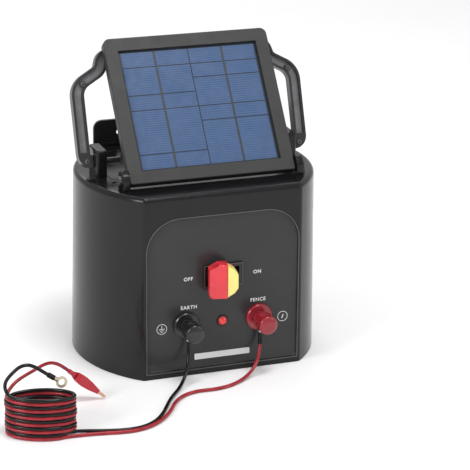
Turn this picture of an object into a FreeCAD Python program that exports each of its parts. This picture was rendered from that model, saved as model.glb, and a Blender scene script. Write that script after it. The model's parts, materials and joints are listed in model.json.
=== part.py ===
import FreeCAD, Part
import math
import os
import re
import Sketcher
from FreeCAD import Placement, Rotation, Vector

# Solar fence energizer. Millimetres, +Z up, -Y is the working face, +X to its right.
# The origin is on the resting plane, on the axis of the round housing.

doc = FreeCAD.newDocument("fenceEnergizer")
sheet = doc.addObject("Spreadsheet::Sheet", "dims")

sizes = {
    # housing: a drafted drum with a flat front and a flat back
    "drumRadius": 109, "flatDistance": 81.5, "backFlat": 80, "housingHeight": 165.5,
    "draftSlope": 0.014, "wall": 3.2, "deckWall": 4, "cornerRound": 5, "topRound": 4.5,
    # arched recess of the working face
    "recessWidth": 138, "recessLow": 6, "recessHigh": 144, "archRound": 29,
    "recessFoot": 3, "recessDepth": 1.6, "recessSoft": 1.4,
    # base and its screws
    "baseThick": 3, "baseGap": 0.3,
    "bossRadius": 5.5, "bossReach": 102, "bossHeight": 26, "screwRadius": 1.5, "headRadius": 3,
    "headThick": 1.8,
    # service lid in the deck
    "lidWidth": 164, "lidFront": -20, "lidBack": 60, "lidThick": 2, "lidRound": 6,
    "lidLedge": 8, "lidGap": 0.25,
    "deckScrewX": 81, "deckScrewY": -29, "deckScrewSink": 1.2,
    # hanging plate on the flat back
    "hangWidth": 136, "hangThick": 3, "hangLow": "=housingHeight - 53.5",
    "hangHigh": "=housingHeight + 23.5", "hangRound": 8, "hangHoleX": 44,
    "hangHoleZ": "=housingHeight + 11.5", "hangHoleRadius": 2.6, "hangScrewX": 50,
    "hangScrewLow": "=housingHeight - 43.5", "hangScrewHigh": "=housingHeight - 13.5", "hangRib": 2,
    # solar panel, in its own frame: hinge line at the origin, front face up
    "panelWidth": 151.5, "panelLength": 135, "panelFront": 4, "panelBack": 4,
    "panelBelow": 6, "panelTilt": 53, "hingeY": -48.3, "hingeZ": "=housingHeight + 8",
    "windowWidth": "=panelWidth - 23.5", "windowLow": 5, "windowHigh": 117, "windowDepth": 3,
    "laminateThick": 2, "laminateLap": 2.8, "seatGap": 0.2, "coverThick": 2, "coverInset": 2.5,
    "coverGap": 0.2,
    "panelTopRound": 6, "panelFootRound": 2,
    "junctionWidth": 40, "junctionLow": 20, "junctionHigh": 50, "junctionThick": 7,
    # lugs and screws that the panel turns on
    "lugThick": 6, "lugGap": 0.6, "lugRound": 8, "pivotRadius": 2, "pivotClear": 0.05,
    "pivotHeadRadius": 4, "pivotHeadThick": 2.5, "pivotDepth": 6,
    # carrying handle, in its own plane: pivot at the origin, y up the legs
    "handleLean": 20.2, "handleZ": "=housingHeight + 11.5", "legX": 101, "legBend": 66,
    "kneeX": 79, "kneeY": 78.5,
    "gripX": 75, "gripY": 91.5, "handleWide": 11, "handleThick": 8, "flange": 2.2, "webThick": 3.2,
    "footRound": 6.5, "bendRound": 16, "kneeRound": 10, "gripRound": 8, "bossDot": 2.9, "channelFoot": 8,
    "postInner": 83.2, "postThick": 10, "postGap": 0.4, "postDepth": 24, "postHeight": 24.5,
    "postRound": 2, "axleRadius": 2.5, "axleClear": 0.06, "axleGrip": 7, "boreDepth": 7.6,
    # safety switch: bezel, rocking paddle and pull-out key
    "switchZ": 89.5, "bezelWidth": 36, "bezelTall": 20.4, "bezelThick": 2, "bezelSoft": 0.8,
    "switchWide": 29, "switchTall": 14, "switchWall": 0.8, "switchDeep": 22, "cutGap": 0.2,
    "paddlePivot": 4, "trunnion": 1.5, "trunnionClear": 0.05, "paddleLean": 14,
    "stemWide": 11, "stemTall": 13, "stemBack": 4,
    "paddleWide": 25.4, "paddleTall": 31, "paddleRear": 12, "paddleFace": 24.5,
    "paddleFlange": 3, "paddleRound": 4, "paddleSplit": 3.3,
    "keyTall": 29, "keyTip": 12, "keyGap": 0.1, "bladeX": 6.2, "bladeThick": 2.6,
    "bladeTall": 9, "bladeDeep": 5.5,
    # indicator lamp
    "rowZ": 47, "lampRadius": 4, "lampHolder": 4.9, "lampRim": 1, "lampDeep": 8, "lampSleeve": 4.6,
    # earth and fence terminals
    "terminalX": 33.5, "collarRadius": 11.8, "collarThick": 4, "collarSoft": 0.9,
    "bushRadius": 5.4, "bushGap": 0.1, "studRadius": 3, "studBack": 15, "studFront": 22,
    "studClear": 0.05, "nutAcross": 10, "nutThick": 5, "lugPlate": 1, "lugPlateRadius": 5.5,
    "barrelRadius": 2, "barrelSet": 2.3, "barrelTop": 8.6, "barrelFoot": 12.5,
    "washerRadius": 6.5, "washerThick": 1.2,
    "knobRadius": 8, "knobNeck": 7.2, "knobLength": 20.5, "knobDome": 6,
    # leads and the standing coil of twin lead
    "leadRadius": 1.5, "sleeveWall": 0.5,
    "coilX": -185.5, "coilY": -157, "coilTurn": -20.6, "coilLong": 28.2, "coilShort": 16,
    "coilHeight": 37,
    # ring terminal
    "ringX": -167, "ringY": -155.4, "ringZ": 42.2, "ringRadius": 4.8, "ringHole": 2.65,
    "ringThick": 0.8, "ringBarrel": 1.8, "ringSleeve": 2.2, "ringSleeveLength": 7,
    # spring clip, in its own frame: rear at the origin, nose along x
    "clipX": -145, "clipY": -101.6, "clipZ": 27, "noseX": -115.4, "noseY": -106.6, "noseZ": 1.6,
    "clipLength": 39, "bootLength": 31.5, "clipHalf": 4.5, "clipDepth": 4.6, "clipNose": 1.3,
    "clipPivot": 18, "clipPin": 0.8, "clipPinClear": 0.05, "pinHalf": 3.6, "jawTall": 1.3,
    "jawRoot": 22, "clipGap": 0.15, "clipSplay": 2, "neckRadius": 2, "springRadius": 2.1,
    "springTall": 1.2, "clipBack": 4.5,
    # parts inside the housing
    "batteryWide": 70, "batteryDeep": 47, "batteryTall": 100, "batteryFront": 8,
    "tabTall": 6, "strapWide": 14, "strapThick": 2, "strapFoot": 12,
    "boardWide": 84, "boardDeep": 50, "boardThick": 1.6, "boardFront": -66, "boardRise": 8,
    "standoffRadius": 3.2, "boardInset": 5, "coreWide": 30, "coreDeep": 26, "coreTall": 27,
    "windingRadius": 10, "capacitorRadius": 9, "capacitorTall": 34,
    "grommetRadius": 5, "grommetRim": 7, "grommetY": -34,
}
for row, (alias, number) in enumerate(sizes.items(), start=1):
    sheet.set("A%d" % row, alias)
    sheet.set("B%d" % row, str(number))
    sheet.setAlias("B%d" % row, alias)
doc.recompute()


def linked(text):
    """An expression in which every size name points at its cell of the sheet."""
    return re.sub(r"[A-Za-z]\w*", lambda m: ("dims." if m.group(0) in sizes else "") + m.group(0), str(text))


def value(text):
    """The number that an expression over the sheet gives now."""
    result = sheet.evalExpression(linked(text).replace("dims.", ""))
    return float(getattr(result, "Value", result))


def bindPlace(thing, corner):
    for letter, text in zip("xyz", corner):
        thing.setExpression("Placement.Base." + letter, linked(text))


nodes = {}


def node(label, thing):
    """Name a finished sub-part: its label is its file's name."""
    thing.Label = label
    nodes[label] = thing
    return thing


# ---- shapes bound to the sheet -------------------------------------------------------------

def planeOf(body, role):
    return [item for item in body.Origin.OriginFeatures if item.Role == role][0]


def outlineSketch(body, role, points):
    """A closed polygon whose corners are held by expressions."""
    sketch = body.newObject("Sketcher::SketchObject", "outline")
    sketch.AttachmentSupport = [(planeOf(body, role), "")]
    sketch.MapMode = "FlatFace"
    corners = [Vector(value(a), value(b), 0) for a, b in points]
    count = len(corners)
    for i in range(count):
        sketch.addGeometry(Part.LineSegment(corners[i], corners[(i + 1) % count]), False)
    for i in range(count):
        sketch.addConstraint(Sketcher.Constraint("Coincident", i, 2, (i + 1) % count, 1))
    for i, pair in enumerate(points):
        for kind, text, number in zip(("DistanceX", "DistanceY"), pair, corners[i]):
            index = sketch.addConstraint(Sketcher.Constraint(kind, i, 1, number))
            if abs(number) > 1e-9:
                sketch.setExpression("Constraints[%d]" % index, linked(text))
    return sketch


def padded(role, points, length):
    """A polygon made solid to both sides of its plane."""
    body = doc.addObject("PartDesign::Body", "padded")
    sketch = outlineSketch(body, role, points)
    pad = body.newObject("PartDesign::Pad", "pad")
    pad.Profile = sketch
    pad.SideType = "Symmetric"
    pad.setExpression("Length", linked(length))
    doc.recompute()
    return body


def turned(points):
    """A profile of radius and height, turned about the local Z axis."""
    body = doc.addObject("PartDesign::Body", "turned")
    sketch = outlineSketch(body, "XZ_Plane", points)
    spin = body.newObject("PartDesign::Revolution", "spin")
    spin.Profile = sketch
    spin.ReferenceAxis = (sketch, ["V_Axis"])
    spin.Angle = 360
    doc.recompute()
    return body


def block(length, width, height, corner):
    box = doc.addObject("Part::Box", "block")
    box.setExpression("Length", linked(length))
    box.setExpression("Width", linked(width))
    box.setExpression("Height", linked(height))
    bindPlace(box, corner)
    return box


turns = {"z": Rotation(), "x": Rotation(Vector(0, 1, 0), 90), "-y": Rotation(Vector(1, 0, 0), 90),
         "y": Rotation(Vector(1, 0, 0), -90), "-z": Rotation(Vector(1, 0, 0), 180)}


def rod(radius, length, start, along="z"):
    cylinder = doc.addObject("Part::Cylinder", "rod")
    cylinder.Placement = Placement(Vector(), turns[along])
    cylinder.setExpression("Radius", linked(radius))
    cylinder.setExpression("Height", linked(length))
    bindPlace(cylinder, start)
    return cylinder


def joined(*solids):
    if len(solids) == 1:
        return solids[0]
    union = doc.addObject("Part::MultiFuse", "joined")
    union.Shapes = list(solids)
    return union


def less(base, *tools):
    cut = doc.addObject("Part::Cut", "less")
    cut.Base = base
    cut.Tool = joined(*tools)
    return cut


def shared(first, second):
    common = doc.addObject("Part::Common", "shared")
    common.Base = first
    common.Tool = second
    return common


def softened(solid, radius, pick):
    """Round the edges that pick() accepts, by their bounding box."""
    doc.recompute()
    soft = doc.addObject("Part::Fillet", "softened")
    soft.Base = solid
    chosen = [i for i, edge in enumerate(solid.Shape.Edges, start=1) if pick(edge.BoundBox)]
    soft.Edges = [(i, value(radius), value(radius)) for i in chosen]
    doc.recompute()
    return soft


def copyOf(shape, name="shape"):
    """A free shape from Part's own functions, where no feature fits."""
    thing = doc.addObject("Part::Feature", name)
    thing.Shape = shape
    return thing


def mirroredPair(make):
    """The same piece on the left and on the right."""
    return make(-1), make(1)


# ---- frames that pieces are seated in ------------------------------------------------------

draftAngle = math.degrees(math.atan(value("draftSlope")))
faceFrame = Placement(Vector(0, -value("flatDistance - recessDepth"), 0),
                      Rotation(Vector(-1, 0, 0), draftAngle))
panelFrame = Placement(Vector(0, value("hingeY"), value("hingeZ")),
                       Rotation(Vector(1, 0, 0), value("panelTilt")))
handleFrame = Placement(Vector(0, 0, value("handleZ")),
                        Rotation(Vector(1, 0, 0), 90 - value("handleLean")))
paddleFrame = faceFrame.multiply(Placement(Vector(0, value("paddlePivot"), value("switchZ")),
                                           Rotation(Vector(0, 0, -1), value("paddleLean"))))


def seated(thing, frame):
    """Place a piece that was made in the frame of the face, panel, handle or paddle."""
    doc.recompute()
    if any("Placement" in path for path, text in thing.ExpressionEngine):
        carrier = doc.addObject("Part::Compound", "carrier")
        carrier.Links = [thing]
        doc.recompute()
        thing = carrier
    thing.Placement = frame.multiply(thing.Placement)
    return thing


# ---- housing -------------------------------------------------------------------------------

def drumSlice(inset, low, high):
    """The drafted D-section between two heights, drawn in by an inset."""
    cone = doc.addObject("Part::Cone", "drum")
    cone.setExpression("Radius1", linked("drumRadius - (%s) - draftSlope * (%s)" % (inset, low)))
    cone.setExpression("Radius2", linked("drumRadius - (%s) - draftSlope * (%s)" % (inset, high)))
    cone.setExpression("Height", linked("(%s) - (%s)" % (high, low)))
    bindPlace(cone, ("0", "0", low))
    front = "-(flatDistance - (%s) - draftSlope * (%s))"
    slab = padded("YZ_Plane", [
        (front % (inset, low), low), ("backFlat - (%s)" % inset, low),
        ("backFlat - (%s)" % inset, high), (front % (inset, high), high)], "2 * drumRadius")
    return shared(cone, slab)


def screwPlaces():
    reach = "bossReach * 0.7071"
    return [(sx + reach, sy + reach) for sx in ("-", "") for sy in ("-", "")]


def makeHousing():
    high = value("housingHeight")
    outer = drumSlice("0", "0", "housingHeight")
    outer = softened(outer, "cornerRound", lambda b: b.ZLength > 0.9 * high and abs(b.YMin) > 40)
    outer = softened(outer, "topRound", lambda b: b.ZMin > high - 0.01)
    cavity = drumSlice("wall", "-1", "housingHeight - deckWall")

    arch = block("recessWidth", "10", "recessHigh - recessLow", ("-recessWidth / 2", "-10", "recessLow"))
    top = value("recessHigh")
    foot = value("recessLow")
    arch = softened(arch, "archRound", lambda b: b.YLength > 9 and b.ZMin > top - 0.01)
    arch = softened(arch, "recessFoot", lambda b: b.YLength > 9 and b.ZMax < foot + 0.01)
    arch = softened(arch, "recessSoft", lambda b: b.YMin > -0.01)
    cutout = block("switchWide + 2 * switchWall + 2 * cutGap", "20",
                   "switchTall + 2 * switchWall + 2 * cutGap",
                   ("-switchWide / 2 - switchWall - cutGap", "-2",
                    "switchZ - switchTall / 2 - switchWall - cutGap"))
    lampHole = rod("lampSleeve + cutGap", "20", ("0", "-2", "rowZ"), "y")
    bushHoles = mirroredPair(lambda side: rod("bushRadius + bushGap", "20",
                                              ("%d * terminalX" % side, "-2", "rowZ"), "y"))
    face = seated(joined(arch, cutout, lampHole, *bushHoles), faceFrame)

    bosses = [rod("bossRadius", "bossHeight", (x, y, "baseThick")) for x, y in screwPlaces()]
    bossHoles = [rod("screwRadius", "bossHeight - 4", (x, y, "baseThick - 1"))
                 for x, y in screwPlaces()]
    shell = less(joined(less(outer, cavity, face), *bosses), *bossHoles)
    return node("housing_shell", less(shell, lidSeat("0", "lidThick"), *deckHoles()))


def lidSeat(gap, depth):
    """The sunk rectangle of the service lid, or the lid itself when drawn in by the gap."""
    seat = block("lidWidth - 2 * (%s)" % gap, "lidBack - lidFront - 2 * (%s)" % gap, depth,
                 ("-lidWidth / 2 + (%s)" % gap, "lidFront + (%s)" % gap, "housingHeight - (%s)" % depth))
    tall = value(depth)
    return softened(seat, "lidRound", lambda b: b.ZLength > 0.9 * tall)


def deckHoles():
    """Access opening, screw holes, panel lead hole and the back plate's screw holes."""
    opening = block("lidWidth - 2 * lidLedge", "lidBack - lidFront - 2 * lidLedge", "20",
                    ("-lidWidth / 2 + lidLedge", "lidFront + lidLedge", "housingHeight - 10"))
    sinks = mirroredPair(lambda side: rod("headRadius", "10", ("%d * deckScrewX" % side, "deckScrewY",
                                                               "housingHeight - headThick - deckScrewSink")))
    shanks = mirroredPair(lambda side: rod("screwRadius", "20", ("%d * deckScrewX" % side, "deckScrewY",
                                                                 "housingHeight - 10")))
    lead = rod("grommetRadius", "20", ("0", "grommetY", "housingHeight - 10"))
    backHoles = [rod("screwRadius", "20", (x, "backFlat - 10", z), "y") for x, z in hangScrewPlaces()]
    return [opening, lead] + list(sinks) + list(shanks) + backHoles


def makeLid():
    """Lid pressed flush into its seat, with a plug that fills the access opening below."""
    lid = lidSeat("lidGap", "lidThick")
    plug = block("lidWidth - 2 * lidLedge - 1", "lidBack - lidFront - 2 * lidLedge - 1",
                 "deckWall - lidThick + 1",
                 ("-lidWidth / 2 + lidLedge + 0.5", "lidFront + lidLedge + 0.5",
                  "housingHeight - deckWall - 1"))
    node("service_lid", joined(lid, plug))


def makeDeckScrews():
    def screw(side):
        x = "%d * deckScrewX" % side
        head = rod("headRadius", "headThick", (x, "deckScrewY", "housingHeight - headThick - deckScrewSink"))
        return joined(head, rod("screwRadius", "10", (x, "deckScrewY", "housingHeight - 11")))
    node("deck_screws", joined(*mirroredPair(screw)))


def makeBase():
    plate = drumSlice("wall + baseGap", "0", "baseThick")
    holes = []
    screws = []
    for x, y in screwPlaces():
        holes += [rod("screwRadius + 0.1", "10", (x, y, "-1")),
                  rod("headRadius + 0.2", "headThick", (x, y, "0"))]
        screws += [joined(rod("headRadius", "headThick - 0.4", (x, y, "0.4")),
                          rod("screwRadius", "18", (x, y, "headThick")))]
    node("base_plate", less(plate, *holes))
    node("base_screws", joined(*screws))


# ---- hanging plate -------------------------------------------------------------------------

def hangScrewPlaces():
    return [(sx + "hangScrewX", z) for sx in ("-", "") for z in ("hangScrewLow", "hangScrewHigh")]


def makeHangingPlate():
    plate = block("hangWidth", "hangThick", "hangHigh - hangLow", ("-hangWidth / 2", "backFlat", "hangLow"))
    plate = softened(plate, "hangRound", lambda b: b.YLength > 0.9 * value("hangThick") and b.ZLength < 1)
    rib = block("hangWidth - 2 * hangRound", "hangRib + 0.5", "hangRib",
                ("-hangWidth / 2 + hangRound", "backFlat - hangRib", "housingHeight + 0.3"))
    hooks = mirroredPair(lambda side: rod("hangHoleRadius", "20",
                                          ("%d * hangHoleX" % side, "backFlat - 8", "hangHoleZ"), "y"))
    holes = [rod("screwRadius + 0.1", "20", (x, "backFlat - 8", z), "y") for x, z in hangScrewPlaces()]
    node("hanging_plate", less(joined(plate, rib), *(list(hooks) + holes)))
    screws = [joined(rod("headRadius", "headThick", (x, "backFlat + hangThick", z), "y"),
                     rod("screwRadius", "9", (x, "backFlat + hangThick - 9", z), "y"))
              for x, z in hangScrewPlaces()]
    node("hanging_plate_screws", joined(*screws))


# ---- solar panel ---------------------------------------------------------------------------

def panelScrewPlaces():
    rows = ("9", "panelLength / 2 - panelBelow", "panelLength - panelBelow - 6.5")
    return [(sx + "(panelWidth / 2 - 6)", y) for sx in ("-", "") for y in rows]


def coverBlock(inset, thick):
    """The rear cover, or with a smaller inset the rebate that it lies in."""
    cover = block("panelWidth - 2 * (%s)" % inset, "panelLength - 2 * (%s)" % inset, thick,
                  ("-panelWidth / 2 + (%s)" % inset, "-panelBelow + (%s)" % inset, "-panelBack"))
    tall = value(thick)
    return softened(cover, "panelTopRound - coverInset", lambda b: b.ZLength > 0.9 * tall)


def makePanel():
    outer = block("panelWidth", "panelLength", "panelFront + panelBack",
                  ("-panelWidth / 2", "-panelBelow", "-panelBack"))
    head = value("panelLength - panelBelow")
    foot = value("-panelBelow")
    outer = softened(outer, "panelTopRound", lambda b: b.ZLength > 7 and b.YMin > head - 0.01)
    outer = softened(outer, "panelFootRound", lambda b: b.ZLength > 7 and b.YMax < foot + 0.01)
    front = value("panelFront")
    outer = softened(outer, "1", lambda b: b.ZMin > front - 0.01)
    window = block("windowWidth", "windowHigh - windowLow", "20", ("-windowWidth / 2", "windowLow", "-10"))
    lap = "(laminateLap + seatGap)"
    seat = block("windowWidth + 2 * " + lap, "windowHigh - windowLow + 2 * " + lap,
                 "panelFront - windowDepth + 10",
                 ("-windowWidth / 2 - " + lap, "windowLow - " + lap, "-10"))
    bores = mirroredPair(lambda side: rod("pivotRadius + pivotClear", "pivotDepth + 0.4",
                                          (("-panelWidth / 2" if side < 0 else
                                            "panelWidth / 2 - pivotDepth - 0.4"), "0", "0"), "x"))
    pilots = [rod("1", "6", (x, y, "-panelBack")) for x, y in panelScrewPlaces()]
    rebate = coverBlock("coverInset - coverGap", "coverThick")
    frame = less(outer, window, seat, rebate, *(list(bores) + pilots))
    node("panel_frame", seated(frame, panelFrame))

    laminate = block("windowWidth + 2 * laminateLap", "windowHigh - windowLow + 2 * laminateLap",
                     "laminateThick", ("-windowWidth / 2 - laminateLap", "windowLow - laminateLap",
                                       "panelFront - windowDepth - laminateThick"))
    node("solar_laminate", seated(laminate, panelFrame))

    cover = coverBlock("coverInset", "coverThick")
    bed = block("windowWidth + 2 * laminateLap", "windowHigh - windowLow + 2 * laminateLap",
                "panelBack + panelFront - windowDepth - laminateThick",
                ("-windowWidth / 2 - laminateLap", "windowLow - laminateLap", "-panelBack"))
    holes = [rod("1.05", "20", (x, y, "-panelBack - 10")) for x, y in panelScrewPlaces()]
    sinks = [rod("2.2", "11", (x, y, "-panelBack - 10")) for x, y in panelScrewPlaces()]
    node("panel_back", seated(less(joined(cover, bed), *(holes + sinks)), panelFrame))

    screws = [joined(rod("2.1", "0.8", (x, y, "-panelBack + 0.2")), rod("1", "4.5", (x, y, "-panelBack + 1")))
              for x, y in panelScrewPlaces()]
    node("panel_screws", seated(joined(*screws), panelFrame))

    junction = block("junctionWidth", "junctionHigh - junctionLow", "junctionThick",
                     ("-junctionWidth / 2", "junctionLow", "-panelBack - junctionThick"))
    low = value("-panelBack - junctionThick")
    junction = softened(junction, "2", lambda b: b.ZMax < low + 0.01 or b.ZLength > 6)
    gland = rod("3", "4", ("0", "junctionLow - 4", "-panelBack - junctionThick / 2"), "y")
    node("panel_junction_box", seated(joined(junction, gland), panelFrame))


def makeLugs():
    """Round-topped lugs on the deck, and the screws that the panel turns on."""
    inner = "panelWidth / 2 + lugGap"
    for side, name in ((-1, "left"), (1, "right")):
        start = inner if side > 0 else "-(" + inner + ") - lugThick"
        lug = joined(rod("lugRound", "lugThick", (start, "hingeY", "hingeZ"), "x"),
                     block("lugThick", "2 * lugRound", "hingeZ - housingHeight",
                           (start, "hingeY - lugRound", "housingHeight")))
        bore = rod("pivotRadius", "3 * lugThick", (start + " - lugThick", "hingeY", "hingeZ"), "x")
        node("panel_lug_" + name, less(lug, bore))
    screws = []
    for side in (-1, 1):
        shank = "pivotDepth + lugGap + lugThick"
        if side > 0:
            parts = (rod("pivotRadius", shank, ("panelWidth / 2 - pivotDepth", "hingeY", "hingeZ"), "x"),
                     rod("pivotHeadRadius", "pivotHeadThick",
                           (inner + " + lugThick", "hingeY", "hingeZ"), "x"))
        else:
            parts = (rod("pivotRadius", shank, ("-(%s) - lugThick" % inner, "hingeY", "hingeZ"), "x"),
                     rod("pivotHeadRadius", "pivotHeadThick",
                         ("-(%s) - lugThick - pivotHeadThick" % inner, "hingeY", "hingeZ"), "x"))
        screws.append(joined(*parts))
    node("panel_pivot_screws", joined(*screws))


def makeGrommet():
    profile = [("2", "-deckWall - 2"), ("grommetRadius - 0.05", "-deckWall - 2"),
               ("grommetRadius - 0.05", "0"), ("grommetRim", "0"), ("grommetRim - 1", "2"), ("2", "2")]
    grommet = turned(profile)
    grommet.Placement = Placement(Vector(0, value("grommetY"), value("housingHeight")), Rotation())
    node("panel_lead_grommet", grommet)


# ---- carrying handle -----------------------------------------------------------------------

def roundedEdges(points, radii, closed):
    """Straight runs joined by tangent arcs through a list of corners."""
    count = len(points)
    ends = []
    for i, corner in enumerate(points):
        radius = radii[i]
        if radius <= 0 or (not closed and i in (0, count - 1)):
            ends.append((corner, corner, None))
            continue
        back = (points[i - 1] - corner).normalize()
        ahead = (points[(i + 1) % count] - corner).normalize()
        half = back.getAngle(ahead) / 2
        reach = radius / math.tan(half)
        middle = (back + ahead).normalize() * (radius / math.sin(half) - radius)
        ends.append((corner + back * reach, corner + ahead * reach, corner + middle))
    edges = []
    for i in range(count):
        first, last, middle = ends[i]
        if middle is not None:
            edges.append(Part.Arc(first, middle, last).toShape())
        if closed or i < count - 1:
            following = ends[(i + 1) % count][0]
            if last.distanceToPoint(following) > 1e-6:
                edges.append(Part.LineSegment(last, following).toShape())
    return edges


def bandFace(points, radii, half):
    """A flat band of even width along a rounded centre line in the XY plane."""
    def shifted(side):
        corners = []
        for i in range(len(points)):
            lines = []
            if i > 0:
                lines.append((points[i - 1], points[i]))
            if i < len(points) - 1:
                lines.append((points[i], points[i + 1]))
            normals = []
            for a, b in lines:
                along = (b - a).normalize()
                normals.append(Vector(-along.y, along.x, 0) * side)
            if len(normals) == 1:
                corners.append(points[i] + normals[0] * half)
            else:
                bisector = (normals[0] + normals[1]).normalize()
                corners.append(points[i] + bisector * (half / bisector.dot(normals[0])))
        return corners

    def bent(side):
        result = []
        for i in range(len(points)):
            if i in (0, len(points) - 1):
                result.append(0)
                continue
            a = points[i] - points[i - 1]
            b = points[i + 1] - points[i]
            turn = 1 if a.cross(b).z > 0 else -1
            result.append(radii[i] - turn * side * half)
        return result

    corners = shifted(1) + shifted(-1)[::-1]
    rounds = bent(1) + bent(-1)[::-1]
    return Part.Face(Part.Wire(roundedEdges(corners, rounds, True)))


def makeHandle():
    """Bail of I-section: two legs that bend in to the grip, on axles in the posts."""
    legX = value("legX")
    right = [Vector(value("postInner + postThick + postGap"), 0, 0), Vector(legX, 0, 0),
             Vector(legX, value("legBend"), 0), Vector(value("kneeX"), value("kneeY"), 0),
             Vector(value("gripX"), value("gripY"), 0)]
    rightRounds = [0, value("footRound"), value("bendRound"), value("kneeRound"), value("gripRound")]
    line = right + [Vector(-p.x, p.y, 0) for p in reversed(right)]
    rounds = rightRounds + rightRounds[::-1]
    half = value("handleWide / 2")
    thick = value("handleThick")
    web = value("webThick")
    bar = bandFace(line, rounds, half).extrude(Vector(0, 0, thick))
    bar.translate(Vector(0, 0, -thick / 2))
    inner = [Vector(legX, value("channelFoot"), 0)] + line[2:-2] + [Vector(-legX, value("channelFoot"), 0)]
    channel = bandFace(inner, [0] + rounds[2:-2] + [0], half - value("flange"))
    for start, depth in ((web / 2, thick), (-web / 2, -thick)):
        groove = channel.extrude(Vector(0, 0, depth))
        groove.translate(Vector(0, 0, start))
        bar = bar.cut(groove)
    for x, y in ((value("legX - handleWide / 2"), value("legBend + 1.5")), (value("legX - 2"), 0)):
        for side in (-1, 1):
            dot = Part.makeCylinder(value("bossDot"), thick, Vector(side * x, y, -thick / 2))
            bar = bar.fuse(dot)
    for side in (-1, 1):
        start = Vector(side * (value("postInner + postThick + postGap") - 1), 0, 0)
        bore = Part.makeCylinder(value("axleRadius + axleClear"), value("boreDepth + 1"), start,
                                 Vector(side, 0, 0))
        bar = bar.cut(bore)
    handle = copyOf(bar.removeSplitter(), "handleBar")
    node("handle", seated(handle, handleFrame))


def makePosts():
    for side, name in ((-1, "left"), (1, "right")):
        start = "postInner" if side > 0 else "-postInner - postThick"
        post = block("postThick", "postDepth", "postHeight", (start, "-postDepth / 2", "housingHeight"))
        top = value("housingHeight + postHeight")
        post = softened(post, "postRound", lambda b: b.ZMin > top - 0.01 or b.ZLength > 20)
        bore = rod("axleRadius", "3 * postThick", (start + " - postThick", "0", "handleZ"), "x")
        node("handle_post_" + name, less(post, bore))
    length = "postThick + postGap + axleGrip"
    node("handle_axles", joined(
        rod("axleRadius", length, ("postInner", "0", "handleZ"), "x"),
        rod("axleRadius", length, ("-postInner - " + length, "0", "handleZ"), "x")))


# ---- safety switch -------------------------------------------------------------------------

def makeSwitch():
    bezel = block("bezelWidth", "bezelThick", "bezelTall",
                  ("-bezelWidth / 2", "-bezelThick", "switchZ - bezelTall / 2"))
    proud = value("-bezelThick")
    bezel = softened(bezel, "bezelSoft", lambda b: b.YMax < proud + 0.01)
    barrel = block("switchWide + 2 * switchWall", "switchDeep", "switchTall + 2 * switchWall",
                   ("-switchWide / 2 - switchWall", "0", "switchZ - switchTall / 2 - switchWall"))
    well = block("switchWide", "switchDeep - 8 + bezelThick + 1", "switchTall",
                 ("-switchWide / 2", "-bezelThick - 1", "switchZ - switchTall / 2"))
    tabs = [block("0.8", "8", "6", ("%d - 0.4" % x, "switchDeep", "switchZ - 3")) for x in (-9, 0, 9)]
    pivotHole = rod("trunnion + trunnionClear", "switchTall + 4 * switchWall",
                    ("0", "paddlePivot", "switchZ - switchTall / 2 - 2 * switchWall"))
    node("switch_body", seated(less(joined(bezel, barrel, *tabs), well, pivotHole), faceFrame))

    flangeFront = "-paddleRear - paddleFlange"
    stem = block("stemWide", "paddleRear + stemBack", "stemTall",
                 ("-stemWide / 2", "-paddleRear", "-stemTall / 2"))
    flange = block("paddleWide", "paddleFlange", "keyTall - 4",
                   ("-paddleWide / 2", flangeFront, "-keyTall / 2 + 2"))
    pad = block("paddleWide / 2 + paddleSplit", "paddleFace - paddleRear", "paddleTall",
                ("-paddleWide / 2", "-paddleFace", "-paddleTall / 2"))
    left = value("-paddleWide / 2")
    pad = softened(pad, "paddleRound", lambda b: b.XMax < left + 0.01 and b.YLength > 5)
    face = value("-paddleFace")
    pad = softened(pad, "1.6", lambda b: b.YMax < face + 0.01)
    slot = block("bladeThick + 2 * keyGap", "paddleRear + paddleFlange + 1", "bladeTall + 2 * keyGap",
                 ("bladeX - keyGap", flangeFront + " - 1", "-bladeTall / 2 - keyGap"))
    pivot = rod("trunnion", "switchTall + 2 * switchWall - 0.2",
                ("0", "0", "-switchTall / 2 - switchWall + 0.1"))
    node("switch_paddle", seated(less(joined(stem, flange, pad, pivot), slot), paddleFrame))

    start = "paddleSplit + keyGap"
    wedge = padded("XZ_Plane", [(start, "-keyTall / 2"), ("paddleWide / 2 - 3", "-keyTall / 2 + 4"),
                                ("paddleWide / 2", "-keyTip / 2"), ("paddleWide / 2", "keyTip / 2"),
                                ("paddleWide / 2 - 3", "keyTall / 2 - 4"), (start, "keyTall / 2")],
                   "paddleFace - paddleRear - paddleFlange - keyGap")
    middle = value("-(paddleFace + paddleRear + paddleFlange + keyGap) / 2")
    wedge.Placement = Placement(Vector(0, middle, 0), Rotation())
    front = value("-paddleFace")
    wedge = softened(wedge, "1.4", lambda b: b.YMax < front + 0.01)
    blade = block("bladeThick", "bladeDeep", "bladeTall",
                  ("bladeX", flangeFront + " - 0.5", "-bladeTall / 2"))
    node("safety_key", seated(joined(wedge, blade), paddleFrame))


def makeLamp():
    holder = turned([("lampRadius", "-lampDeep"), ("lampSleeve", "-lampDeep"), ("lampSleeve", "0"),
                     ("lampHolder", "0"), ("lampHolder - 0.3", "lampRim"), ("lampRadius", "lampRim")])
    place = Placement(Vector(0, 0, value("rowZ")), turns["-y"])
    holder.Placement = place
    node("lamp_holder", seated(holder, faceFrame))
    stem = Part.makeCylinder(value("lampRadius"), value("lampDeep - 1"), Vector(0, 0, -value("lampDeep - 1")))
    dome = Part.makeSphere(value("lampRadius"), Vector(0, 0, 0), Vector(0, 0, 1), 0, 90, 360)
    lens = copyOf(stem.fuse(dome).removeSplitter(), "lampLens")
    lens.Placement = place
    node("lamp_lens", seated(lens, faceFrame))


# ---- terminals -----------------------------------------------------------------------------

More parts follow.
